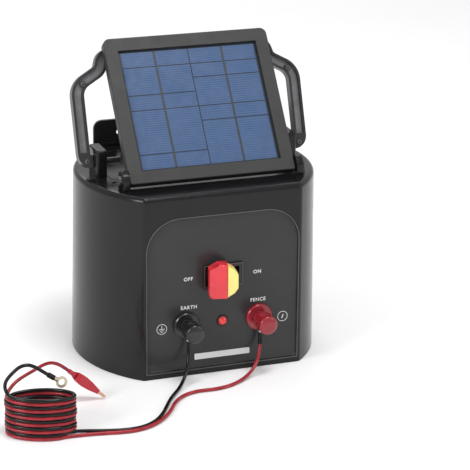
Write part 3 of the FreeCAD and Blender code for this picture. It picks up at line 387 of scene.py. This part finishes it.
finish = {
    "housing": housingPlastic("glossyHousingBlack", (0.007, 0.007, 0.008), (0.032, 0.032, 0.033)),
    "panelRim": mouldedPlastic("satinPanelBlack", (0.019, 0.019, 0.0185), (0.42, 0.56),
                               grain=1500, depth=0.00005),
    "handle": handlePlastic("handleBlack", (0.02, 0.02, 0.022), (0.13, 0.13, 0.135)),
    "laminate": siliconCell("resinBacking", (0.012, 0.018, 0.03), (0.018, 0.025, 0.04),
                            (0.02, 0.028, 0.045)),
    "cell": siliconCell("siliconCell", (0.036, 0.082, 0.19), (0.045, 0.094, 0.205),
                        (0.085, 0.14, 0.26)),
    "zinc": sheetMetal("zincPlatedSteel", (0.62, 0.62, 0.63)),
    "warmTin": sheetMetal("warmTin", (0.66, 0.57, 0.42)),
    "blackOxide": sheetMetal("blackOxideScrew", (0.09, 0.09, 0.095), (0.3, 0.42), stretch=(1, 1, 1),
                             scale=300, metallic=0.3),
    "ribbon": sheetMetal("darkRibbon", (0.022, 0.03, 0.04), (0.35, 0.5), stretch=(20, 1, 1), scale=300,
                         metallic=0.0),
    "plate": powderCoat("powderCoatedSheet", (0.006, 0.006, 0.007)),
    "switch": mouldedPlastic("switchBlack", (0.006, 0.008, 0.007), (0.14, 0.22)),
    "paddle": mouldedPlastic("paddleRed", (0.66, 0.03, 0.045), (0.22, 0.32), wave=0.00002, coat=0.25),
    "key": mouldedPlastic("keyYellow", (0.86, 0.66, 0.2), (0.22, 0.32), wave=0.00002, coat=0.25),
    "lens": mouldedPlastic("lampLensRed", (0.66, 0.035, 0.035), (0.06, 0.12), depth=0.000002,
                           wave=0.00001, coat=0.6),
    "knobBlack": mouldedPlastic("knobBlack", (0.008, 0.008, 0.009), (0.24, 0.34), wave=0.00002, coat=0.3),
    "knobRed": mouldedPlastic("knobDarkRed", (0.24, 0.008, 0.017), (0.24, 0.34), wave=0.00002, coat=0.4),
    "jacketBlack": softJacket("blackJacket", (0.003, 0.0025, 0.0028)),
    "jacketRed": softJacket("redJacket", (0.3, 0.018, 0.026)),
    "copper": sheetMetal("copperPlatedJaw", (0.86, 0.5, 0.36), (0.25, 0.4), stretch=(1, 1, 8), scale=300),
    "batteryCase": mouldedPlastic("batteryCase", (0.1, 0.1, 0.11), (0.45, 0.6), grain=500, depth=0.00003),
    "board": mouldedPlastic("boardGreen", (0.015, 0.16, 0.07), (0.3, 0.4), grain=1200, depth=0.00001),
    "ferrite": powderCoat("sinteredFerrite", (0.05, 0.05, 0.055)),
    "tape": softJacket("windingTape", (0.7, 0.52, 0.08)),
    "can": mouldedPlastic("capacitorSleeve", (0.02, 0.05, 0.26), (0.2, 0.3)),
    "nylon": mouldedPlastic("naturalNylon", (0.72, 0.71, 0.67), (0.35, 0.45)),
    "legendInk": printedInk("legendInk", (0.86, 0.87, 0.88)),
    "stripFilm": printedInk("silverStripFilm", (0.72, 0.73, 0.74)),
    "clipSleeve": mouldedPlastic("clipSleeveRed", (0.44, 0.012, 0.026), (0.16, 0.28), depth=0.000006,
                                 wave=0.00004, coat=0.3),
    # painted highlight: a grey several times paler than the housing, so the beads' rims read as lit lines
    "paintedEdgeHighlight": mouldedPlastic("paintedEdgeHighlight", (0.05, 0.05, 0.052), (0.16, 0.24)),
    "slotShadow": powderCoat("slotShadow", (0.01, 0.01, 0.01)),
}

slotFinish = {
    "housing_black": "housing", "panel_black": "panelRim", "handle_black": "handle", "cells": "laminate",
    "steel": "zinc", "black_steel": "plate", "switch_black": "switch", "paddle_red": "paddle",
    "key_yellow": "key", "lamp_red": "lens", "terminal_black": "knobBlack", "terminal_red": "knobRed",
    "lead_black": "jacketBlack", "lead_red": "jacketRed", "coil_red": "jacketRed", "copper": "copper",
    "battery_grey": "batteryCase", "board_green": "board", "ferrite": "ferrite",
    "winding_tape": "tape", "capacitor_blue": "can", "nylon": "nylon",
}

# nodes whose finish differs from the rest of their slot
nodeFinish = {
    "ring_terminal": "warmTin",
    "panel_pivot_screws": "blackOxide", "deck_screws": "blackOxide", "handle_axles": "blackOxide",
    "clip_fixed_sleeve": "clipSleeve", "clip_moving_sleeve": "clipSleeve",
}


def dressNodes():
    for part in frame["record"]["subparts"]:
        node = frame["nodes"][part["node"]]
        chosen = finish[nodeFinish.get(part["node"], slotFinish[part["material_slot"]])]
        if not node.material_slots:
            node.data.materials.append(chosen)
        for slot in node.material_slots:
            slot.material = chosen


addCamera(cameraSet)
addStudio(lightSet)
dressNodes()


# Small tools for modelling

def clearSelection():
    if bpy.context.object and bpy.context.object.mode != "OBJECT":
        bpy.ops.object.mode_set(mode="OBJECT")
    bpy.ops.object.select_all(action="DESELECT")


def makeActive(piece):
    clearSelection()
    piece.select_set(True)
    bpy.context.view_layer.objects.active = piece


def startPlane():
    clearSelection()
    bpy.ops.mesh.primitive_plane_add(size=1, location=(0, 0, 0))
    return bpy.context.object


def faceOutward():
    # turns every face outward and leaves edit mode
    bpy.ops.mesh.select_all(action="SELECT")
    bpy.ops.mesh.normals_make_consistent(inside=False)
    bpy.ops.object.mode_set(mode="OBJECT")


def drawUp(height):
    # draws the whole outline up into a closed solid and leaves edit mode
    bpy.ops.mesh.select_all(action="SELECT")
    bpy.ops.mesh.extrude_region_move(TRANSFORM_OT_translate={"value": (0, 0, height)})
    faceOutward()


def twin(piece):
    # a copy with a mesh of its own
    other = piece.copy()
    other.data = piece.data.copy()
    scene.collection.objects.link(other)
    return other


def pickFaces(piece, test):
    # leaves edit mode on with the faces whose middle and normal pass the test
    bpy.ops.object.mode_set(mode="EDIT")
    bpy.ops.mesh.select_mode(type="FACE")
    bpy.ops.mesh.select_all(action="DESELECT")
    bpy.ops.object.mode_set(mode="OBJECT")
    for face in piece.data.polygons:
        face.select = test(face.center, face.normal)
    bpy.ops.object.mode_set(mode="EDIT")


def seat(piece, name, matrix, body, finishName):
    # puts the place into the mesh, so that the object stays at the origin
    clearSelection()
    piece.name = name
    piece.data.transform(matrix @ piece.matrix_world)
    piece.matrix_world = Matrix.Identity(4)
    piece.data.materials.clear()
    piece.data.materials.append(finish[finishName])
    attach(piece, body)
    return piece


def softEdges(piece, width, segments=2):
    bevel = piece.modifiers.new("soft", "BEVEL")
    bevel.width = width
    bevel.segments = segments
    bevel.limit_method = "ANGLE"
    bpy.context.view_layer.objects.active = piece
    bpy.ops.object.modifier_apply(modifier=bevel.name)


def thinBar(width, height, depth, x=0.0, y=0.0, turn=0.0, corner=0.0):
    # a flat bar lying on the plane z = 0 of its frame, drawn up from a plane
    bar = startPlane()
    bar.data.transform(Matrix.Diagonal((width, height, 1, 1)))
    bpy.ops.object.mode_set(mode="EDIT")
    bpy.ops.mesh.select_all(action="SELECT")
    if corner:
        bpy.ops.mesh.bevel(offset=corner, segments=5, affect="VERTICES")
    drawUp(depth)
    bar.data.transform(Matrix.Translation((x, y, 0)) @ Matrix.Rotation(turn, 4, "Z"))
    return bar


def joinPieces(pieces):
    clearSelection()
    for piece in pieces:
        piece.select_set(True)
    bpy.context.view_layer.objects.active = pieces[0]
    bpy.ops.object.join()
    return pieces[0]


# Cords: each is one line from its terminal, over the floor, round the coil and up to its fitting

coil = {
    "centre": (-185.5, -157.0), "long": (0.936, -0.351), "short": (0.351, 0.936),
    "halfLong": 28.2, "halfShort": 16.0, "pitch": 6.1, "rest": 0.3, "perTurn": 24,
    "begin": -58.0, "low": 1.55, "strandRise": 3.05, "swell": 0.014, "swellPerTurn": 0.61,
    "cordRadius": 1.5,
}

earthLine = {
    "out": [(-33.5, -85.72, 34.58), (-33.5, -87, 28), (-35, -90.5, 18.5), (-38.5, -96, 10),
            (-44.5, -103, 3.6), (-52, -112.5, 1.5), (-62, -125, 1.5), (-71, -140, 1.5),
            (-80, -155.5, 1.5), (-90.5, -168, 1.5), (-104, -175.5, 1.5), (-120, -176, 1.5),
            (-136, -172, 1.5), (-151, -169.8, 2.5), (-164.5, -171.2, 4.6)],
    "coilFrom": -50.0, "coilTo": -1965.0, "strand": 1,
    "back": [(-212.6, -147.5, 38.6), (-212.6, -147.6, 43.6), (-211, -149.5, 48.5), (-207.5, -152.4, 54),
             (-202, -153, 59), (-195, -153.2, 60.5), (-188.4, -153.6, 57.5), (-183, -154.2, 53.4),
             (-178.2, -154.7, 49.9)],
}

fenceLine = {
    "out": [(33.5, -85.72, 34.58), (33, -87, 27), (31, -90.5, 17.5), (26, -96, 9), (17.5, -102.5, 3.4),
            (6, -110.5, 1.5), (-7.5, -118, 1.5), (-22, -120.5, 1.5), (-36, -119, 1.5),
            (-50, -123.5, 1.5), (-62, -135, 1.5), (-70.5, -150, 1.5), (-81, -163.5, 1.5),
            (-93.5, -174, 1.5), (-108, -179.8, 1.5), (-123.5, -179.5, 1.5), (-138.5, -176.3, 1.5),
            (-153, -174.6, 1.5), (-167, -173.4, 1.5)],
    "coilFrom": -58.0, "coilTo": -1995.0, "strand": 0,
    "back": [(-209.6, -143.2, 33), (-205.8, -139.8, 36.4), (-200, -137, 40), (-191.3, -131, 41.4),
             (-181.2, -123.8, 41.9), (-171.5, -114.6, 41.6), (-163.3, -106.8, 39.4), (-156.2, -101.2, 35.4),
             (-149.89, -98.62, 30.77), (-145, -99.44, 26.57)],
}


def coilPoint(degree, strand):
    # the coil lies flat for the first part of each turn and climbs by its pitch in the rest
    turns = (coil["begin"] - degree) / 360
    whole = turns // 1
    climb = max(0.0, (turns - whole - coil["rest"]) / (1 - coil["rest"]))
    height = coil["low"] + coil["pitch"] * (whole + climb) + strand * coil["strandRise"]
    if turns < 0:
        height = coil["low"] + strand * coil["strandRise"]
    angle = radians(degree)
    size = 1 + coil["swell"] * sin(coil["swellPerTurn"] * angle) * min(1, max(0, turns))
    along = cos(angle) * coil["halfLong"] * size
    across = sin(angle) * coil["halfShort"] * size
    x = coil["centre"][0] + along * coil["long"][0] + across * coil["short"][0]
    y = coil["centre"][1] + along * coil["long"][1] + across * coil["short"][1]
    return (x, y, height)


def makeCord(name, line, finishName):
    points = list(line["out"])
    step = 360 / coil["perTurn"]
    turn = line["coilFrom"]
    while turn >= line["coilTo"] - 0.01:
        points.append(coilPoint(turn, line["strand"]))
        turn -= step
    points += line["back"]
    data = bpy.data.curves.new(name, "CURVE")
    data.dimensions = "3D"
    data.bevel_depth = coil["cordRadius"] * mm
    data.bevel_resolution = 5
    data.use_fill_caps = True
    spline = data.splines.new("NURBS")
    spline.points.add(len(points) - 1)
    for spot, place in zip(spline.points, points):
        spot.co = (*(number * mm for number in place), 1)
    spline.order_u = 3
    spline.use_endpoint_u = True
    spline.resolution_u = 6
    data.resolution_u = 6
    cord = bpy.data.objects.new(name, data)
    scene.collection.objects.link(cord)
    data.materials.append(finish[finishName])
    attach(cord, "unit")
    return cord


earthCord = makeCord("earthCord", earthLine, "jacketBlack")
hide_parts("earth_lead", "earth_tail", "lead_coil")
fenceCord = makeCord("fenceCord", fenceLine, "jacketRed")
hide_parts("fence_lead", "fence_tail", "lead_coil")
print("cords laid")


# Solar cells: one sheet cut along its strings, each cell drawn in from its neighbours and raised

cells = {
    "halfWide": 62.2, "low": 6.6, "high": 115.6, "gap": 0.45, "thick": 0.18, "top": 1.02, "soft": 0.04,
    "leftRows": (20.3, 61, 75, 101), "rightRows": (47.4, 61, 88, 101),
    "ribbonX": (-31.2, 31.2), "ribbonWide": 1.9, "ribbonThick": 0.16, "ribbonShort": 1.0,
    "ribbonCorner": 0.2, "ribbonSoft": 0.05,
}


def makeCells(s):
    low, high = s["low"] * mm, s["high"] * mm
    middle = Matrix.Translation((0, (low + high) / 2, s["top"] * mm))
    piece = startPlane()
    piece.data.transform(middle @ Matrix.Diagonal((2 * s["halfWide"] * mm, high - low, 1, 1)))
    bpy.ops.object.mode_set(mode="EDIT")
    bpy.ops.mesh.select_all(action="SELECT")
    bpy.ops.mesh.bisect(plane_co=(0, 0, 0), plane_no=(1, 0, 0), threshold=cutWidth)
    bpy.ops.object.mode_set(mode="OBJECT")
    for side, rows in ((-1, s["leftRows"]), (1, s["rightRows"])):
        for row in rows:
            pickFaces(piece, lambda centre, normal: centre.x * side > 0)
            bpy.ops.mesh.bisect(plane_co=(0, row * mm, 0), plane_no=(0, 1, 0), threshold=cutWidth)
            bpy.ops.object.mode_set(mode="OBJECT")
    bpy.ops.object.mode_set(mode="EDIT")
    bpy.ops.mesh.select_all(action="SELECT")
    bpy.ops.mesh.inset(thickness=s["gap"] * mm, use_individual=True, use_boundary=True)
    bpy.ops.mesh.select_all(action="INVERT")
    bpy.ops.mesh.delete(type="ONLY_FACE")
    bpy.ops.mesh.select_all(action="DESELECT")
    bpy.ops.mesh.select_mode(type="EDGE")
    bpy.ops.mesh.select_loose()
    bpy.ops.mesh.delete(type="EDGE")
    bpy.ops.mesh.select_mode(type="FACE")
    drawUp(s["thick"] * mm)
    softEdges(piece, s["soft"] * mm, 1)
    seat(piece, "solarCells", panelMatrix, "panel", "cell")
    onTop = panelMatrix @ middle @ Matrix.Translation((0, 0, s["thick"] * mm))
    for x, name in zip(s["ribbonX"], ("ribbonLeft", "ribbonRight")):
        bar = thinBar(s["ribbonWide"] * mm, high - low - s["ribbonShort"] * mm, s["ribbonThick"] * mm,
                      x * mm, corner=s["ribbonCorner"] * mm)
        softEdges(bar, s["ribbonSoft"] * mm, 1)
        seat(bar, name, onTop, "panel", "ribbon")


makeCells(cells)
print("cells laid")


# Legends and signs on the front face, raised by the thickness of the ink

legend = {
    "size": 4.5, "ink": 0.12, "weight": 0.07, "spacing": 1.12,
    "words": {"legendOff": ("OFF", -31.5, 88.5), "legendOn": ("ON", 32, 88.5),
              "legendEarth": ("EARTH", -31, 62.5), "legendFence": ("FENCE", 33, 62.5)},
    "earthSign": (-55.6, 45.3), "fenceSign": (56.4, 44.1), "signRadius": 4.7, "signLine": 0.4,
    # earth: the stem's length and middle, then how far down each bar is and its width
    "stem": (3.2, 1.5), "bars": ((0.0, 5.6), (1.4, 3.8), (2.8, 2.0)),
    # flash: each stroke's length, place and turn
    "flashWide": 0.6, "strokes": ((2.2, 0.3, 0.9, -28), (1.5, 0.0, 0.0, 62), (2.2, -0.3, -0.9, -28)),
    # strip: place, width, height
    "strip": (0, 16, 51.2, 5.5), "stripThick": 0.25, "stripCorner": 0.8, "stripSoft": 0.06,
}


def makeWord(name, word, x, y, s):
    clearSelection()
    bpy.ops.object.text_add(location=(0, 0, 0))
    text = bpy.context.object
    text.data.body = word
    text.data.align_x = "CENTER"
    text.data.align_y = "CENTER"
    text.data.size = s["size"] * mm
    text.data.space_character = s["spacing"]
    text.data.offset = s["weight"] * mm
    text.data.extrude = s["ink"] * mm / 2
    bpy.ops.object.convert(target="MESH")
    piece = bpy.context.object
    bpy.ops.object.mode_set(mode="EDIT")
    bpy.ops.mesh.select_all(action="SELECT")
    bpy.ops.mesh.remove_doubles(threshold=weld)
    faceOutward()
    piece.data.transform(Matrix.Translation((x * mm, y * mm, s["ink"] * mm / 2)))
    seat(piece, name, faceMatrix, "unit", "legendInk")


def makeRing(radius, line, depth, x, y):
    clearSelection()
    bpy.ops.mesh.primitive_circle_add(vertices=48, radius=radius, fill_type="NGON", location=(0, 0, 0))
    ring = bpy.context.object
    bpy.ops.object.mode_set(mode="EDIT")
    bpy.ops.mesh.select_all(action="SELECT")
    bpy.ops.mesh.inset(thickness=line)
    bpy.ops.mesh.delete(type="FACE")
    drawUp(depth)
    ring.data.transform(Matrix.Translation((x, y, 0)))
    return ring


def makeSigns(s):
    ink, line, radius, wide = [s[key] * mm for key in ("ink", "signLine", "signRadius", "flashWide")]
    x, y = [number * mm for number in s["earthSign"]]
    stemLong, stemUp = [number * mm for number in s["stem"]]
    parts = [makeRing(radius, line, ink, x, y), thinBar(line, stemLong, ink, x, y + stemUp)]
    for drop, barWide in s["bars"]:
        parts.append(thinBar(barWide * mm, line, ink, x, y - drop * mm))
    seat(joinPieces(parts), "earthSign", faceMatrix, "unit", "legendInk")
    x, y = [number * mm for number in s["fenceSign"]]
    parts = [makeRing(radius, line, ink, x, y)]
    for long, right, up, turn in s["strokes"]:
        parts.append(thinBar(wide, long * mm, ink, x + right * mm, y + up * mm, radians(turn)))
    seat(joinPieces(parts), "fenceSign", faceMatrix, "unit", "legendInk")
    x, y, wide, tall = [number * mm for number in s["strip"]]
    strip = thinBar(wide, tall, s["stripThick"] * mm, x, y, corner=s["stripCorner"] * mm)
    softEdges(strip, s["stripSoft"] * mm, 2)
    seat(strip, "blankStrip", faceMatrix, "unit", "stripFilm")


for pieceName, (word, x, y) in legend["words"].items():
    makeWord(pieceName, word, x, y, legend)
makeSigns(legend)
print("legends printed")


# Beads that catch the light: round the arched recess and round the switch's bezel. Their raised shape is
# modelled; their grey, paler than the housing, is a painted highlight along the rims

beads = {
    "recessBead": {"half": 70.4, "low": 4.6, "high": 145.4, "cornerLow": 1.0, "cornerHigh": 30.4,
                   "wall": 1.0, "height": 0.8, "stand": 1.5, "soft": 0.56, "slot": "housing_black"},
    "bezelBead": {"half": 17.9, "low": 79.4, "high": 99.6, "cornerLow": 0.8, "cornerHigh": 0.8,
                  "wall": 0.8, "height": 0.5, "stand": 1.98, "soft": 0.35, "slot": "switch_black"},
}


def roundCorners(piece, radius, above, middle):
    # rounds the corners of a flat outline that lie above or below its middle
    for vertex in piece.data.vertices:
        vertex.select = (vertex.co.y > middle) == above
    for part in (*piece.data.polygons, *piece.data.edges):
        part.select = False
    bpy.ops.object.mode_set(mode="EDIT")
    bpy.ops.mesh.select_mode(type="VERT")
    bpy.ops.mesh.bevel(offset=radius, segments=16, affect="VERTICES", clamp_overlap=False)
    bpy.ops.object.mode_set(mode="OBJECT")


def makeBead(name, s):
    low, high = s["low"] * mm, s["high"] * mm
    middle = (low + high) / 2
    bead = startPlane()
    bead.data.transform(Matrix.Translation((0, middle, 0))
                        @ Matrix.Diagonal((2 * s["half"] * mm, high - low, 1, 1)))
    roundCorners(bead, s["cornerLow"] * mm, False, middle)
    roundCorners(bead, s["cornerHigh"] * mm, True, middle)
    bpy.ops.object.mode_set(mode="EDIT")
    bpy.ops.mesh.select_mode(type="FACE")
    bpy.ops.mesh.select_all(action="SELECT")
    bpy.ops.mesh.inset(thickness=s["wall"] * mm)
    bpy.ops.mesh.delete(type="FACE")
    drawUp(s["height"] * mm)
    bead.data.transform(Matrix.Translation((0, 0, s["stand"] * mm)))
    softEdges(bead, s["soft"] * mm, 4)
    bpy.ops.object.shade_smooth_by_angle(angle=radians(40))
    # the bead takes the paler grey of the painted highlight
    seat(bead, name, faceMatrix, "unit", "paintedEdgeHighlight")


for beadName, numbers in beads.items():
    makeBead(beadName, numbers)
print("beads laid")


# Switch paddle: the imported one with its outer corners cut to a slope

paddleCuts = {
    # the trunnions, behind the face and up it, and how far the paddle leans towards OFF
    "back": 4.0, "up": 89.5, "lean": -14,
    # two points of each cut, to the right and up, and the way to the waste
    "cuts": [((-12.7, 10.5), (-4.0, 15.5), (-1, 1)), ((5.0, 15.5), (12.7, 5.5), (1, 1)),
             ((5.0, -15.5), (12.7, -5.5), (1, -1))],
}


def copyNode(nodeName):
    copy = twin(frame["nodes"][nodeName])
    copy.parent = None
    copy.matrix_world = Matrix.Identity(4)
    for key in list(copy.keys()):
        del copy[key]
    makeActive(copy)
    bpy.ops.object.mode_set(mode="EDIT")
    bpy.ops.mesh.select_all(action="SELECT")
    bpy.ops.mesh.remove_doubles(threshold=weld)
    bpy.ops.object.mode_set(mode="OBJECT")
    return copy


def makePaddle(s):
    paddle = copyNode("switch_paddle")
    upright = faceMatrix @ Matrix.Rotation(radians(-90), 4, "X")
    place = (upright @ Matrix.Translation((0, s["back"] * mm, s["up"] * mm))
             @ Matrix.Rotation(radians(s["lean"]), 4, "Z"))
    for first, second, waste in s["cuts"]:
        a = Vector((first[0] * mm, 0, first[1] * mm))
        b = Vector((second[0] * mm, 0, second[1] * mm))
        normal = (b - a).cross(Vector((0, 1, 0))).normalized()
        if normal.dot(Vector((waste[0], 0, waste[1]))) < 0:
            normal.negate()
        makeActive(paddle)
        bpy.ops.object.mode_set(mode="EDIT")
        bpy.ops.mesh.select_all(action="SELECT")
        bpy.ops.mesh.bisect(plane_co=place @ a, plane_no=place.to_3x3() @ normal, use_fill=True,
                            clear_outer=True, threshold=cutWidth)
        bpy.ops.object.mode_set(mode="OBJECT")
    seat(paddle, "paddleShaped", Matrix.Identity(4), "paddle", "paddle")
    makeActive(paddle)
    bpy.ops.object.shade_smooth_by_angle(angle=radians(30))
    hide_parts("switch_paddle")


makePaddle(paddleCuts)
print("paddle shaped")


# Terminal knobs: waisted behind, full and a little domed in front, bored for the stud. Made once and copied

knobs = {
    # across and high are the knobs' places on the face, foot how far they stand out of it
    "front": 8.4, "waist": 7.2, "bore": 3.05, "boreDeep": 15.5, "body": 13.0, "slope": 3.5, "neck": 3.0,
    "foot": 6.2, "soft": 0.9, "across": 33.5, "high": 47.0,
    # each ring of the dome: its width and its rise
    "dome": ((1.0, 0.75), (1.4, 0.65), (2.0, 0.5), (2.4, 0.25)),
    # side, name, the piece it replaces, body, finish, slot
    "pair": ((-1, "earthKnobCap", "earth_knob", "earth_nut", "knobBlack", "terminal_black"),
             (1, "fenceKnobCap", "fence_knob", "fence_nut", "knobRed", "terminal_red")),
}


def makeKnobs(s):
    clearSelection()
    back = (s["neck"] + s["slope"]) * mm
    bpy.ops.mesh.primitive_cylinder_add(vertices=48, radius=s["front"] * mm, depth=s["body"] * mm,
                                        location=(0, 0, 0))
    knob = bpy.context.object
    knob.data.transform(Matrix.Translation((0, 0, back + s["body"] * mm / 2)))
    pickFaces(knob, lambda centre, normal: normal.z < -0.5)
    bpy.ops.mesh.extrude_region_move(TRANSFORM_OT_translate={"value": (0, 0, -s["slope"] * mm)})
    narrow = s["waist"] / s["front"]
    bpy.ops.transform.resize(value=(narrow, narrow, 1), center_override=(0, 0, 0))
    bpy.ops.mesh.extrude_region_move(TRANSFORM_OT_translate={"value": (0, 0, -s["neck"] * mm)})
    bpy.ops.mesh.inset(thickness=(s["waist"] - s["bore"]) * mm)
    bpy.ops.mesh.extrude_region_move(TRANSFORM_OT_translate={"value": (0, 0, s["boreDeep"] * mm)})
    bpy.ops.object.mode_set(mode="OBJECT")
    pickFaces(knob, lambda centre, normal: normal.z > 0.5 and centre.z > back)
    for ring, rise in s["dome"]:
        bpy.ops.mesh.inset(thickness=ring * mm)
        bpy.ops.transform.translate(value=(0, 0, rise * mm))
    faceOutward()
    softEdges(knob, s["soft"] * mm, 4)
    bpy.ops.object.shade_smooth_by_angle(angle=radians(40))
    for side, name, packed, body, shade, slotName in s["pair"]:
        cap = twin(knob)
        place = Matrix.Translation((side * s["across"] * mm, s["high"] * mm, s["foot"] * mm))
        seat(cap, name, faceMatrix @ place, body, shade)
        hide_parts(packed)
    bpy.data.objects.remove(knob)


makeKnobs(knobs)
print("knobs turned")


# Crosses on the screw heads, modelled once and copied

slots = {"long": 3.0, "wide": 0.75, "deep": 0.06, "corner": 0.2, "soft": 0.02, "headRadius": 3.0}


def makeCross(s):
    long, wide, deep, corner = [s[key] * mm for key in ("long", "wide", "deep", "corner")]
    cross = joinPieces([thinBar(long, wide, deep, corner=corner), thinBar(wide, long, deep, corner=corner)])
    softEdges(cross, s["soft"] * mm, 1)
    return cross


def slotPlaces(radius):
    low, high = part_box("deck_screws")
    places = [Matrix.Translation((x, (low.y + high.y) / 2, high.z))
              for x in (low.x + radius, high.x - radius)]
    low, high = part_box("panel_pivot_screws")
    for x, turn in ((low.x, -90), (high.x, 90)):
        middle = Vector((x, (low.y + high.y) / 2, (low.z + high.z) / 2))
        places.append(Matrix.Translation(middle) @ Matrix.Rotation(radians(turn), 4, "Y"))
    low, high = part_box("hanging_plate_screws")
    for x in (low.x + radius, high.x - radius):
        for z in (low.z + radius, high.z - radius):
            places.append(Matrix.Translation((x, high.y, z)) @ Matrix.Rotation(radians(-90), 4, "X"))
    return places


def makeSlots(s, cross):
    for number, place in enumerate(slotPlaces(s["headRadius"] * mm)):
        seat(twin(cross), "crossSlot%d" % number, place, "unit", "slotShadow")


# Button screws in the bosses of the handle's legs, each with a smaller cross

buttons = {
    "radius": 2.3, "high": 0.7, "soft": 0.35, "crownIn": 0.8, "crownUp": 0.15, "crossSize": 0.75,
    "stand": 4.0, "spots": ((95.5, 67.5), (99.0, 0.0)),
}


def makeButtons(s, cross):
    clearSelection()
    bpy.ops.mesh.primitive_cylinder_add(vertices=28, radius=s["radius"] * mm, depth=s["high"] * mm,
                                        location=(0, 0, 0))
    button = bpy.context.object
    button.data.transform(Matrix.Translation((0, 0, s["high"] * mm / 2)))
    pickFaces(button, lambda centre, normal: normal.z > 0.5)
    bpy.ops.mesh.inset(thickness=s["crownIn"] * mm)
    bpy.ops.transform.translate(value=(0, 0, s["crownUp"] * mm))
    bpy.ops.object.mode_set(mode="OBJECT")
    softEdges(button, s["soft"] * mm, 3)
    bpy.ops.object.shade_smooth_by_angle(angle=radians(40))
    lift = (Matrix.Translation((0, 0, (s["high"] + s["crownUp"]) * mm))
            @ Matrix.Scale(s["crossSize"], 4))
    places = [(side * x * mm, y * mm, s["stand"] * mm) for x, y in s["spots"] for side in (-1, 1)]
    for number, spot in enumerate(places):
        place = handleMatrix @ Matrix.Translation(spot)
        seat(twin(button), "handleScrew%d" % number, place, "handle_bar", "blackOxide")
        seat(twin(cross), "handleSlot%d" % number, place @ lift, "handle_bar", "slotShadow")
    bpy.data.objects.remove(button)


firstCross = makeCross(slots)
makeSlots(slots, firstCross)
makeButtons(buttons, firstCross)
bpy.data.objects.remove(firstCross)
print("screw heads crossed")
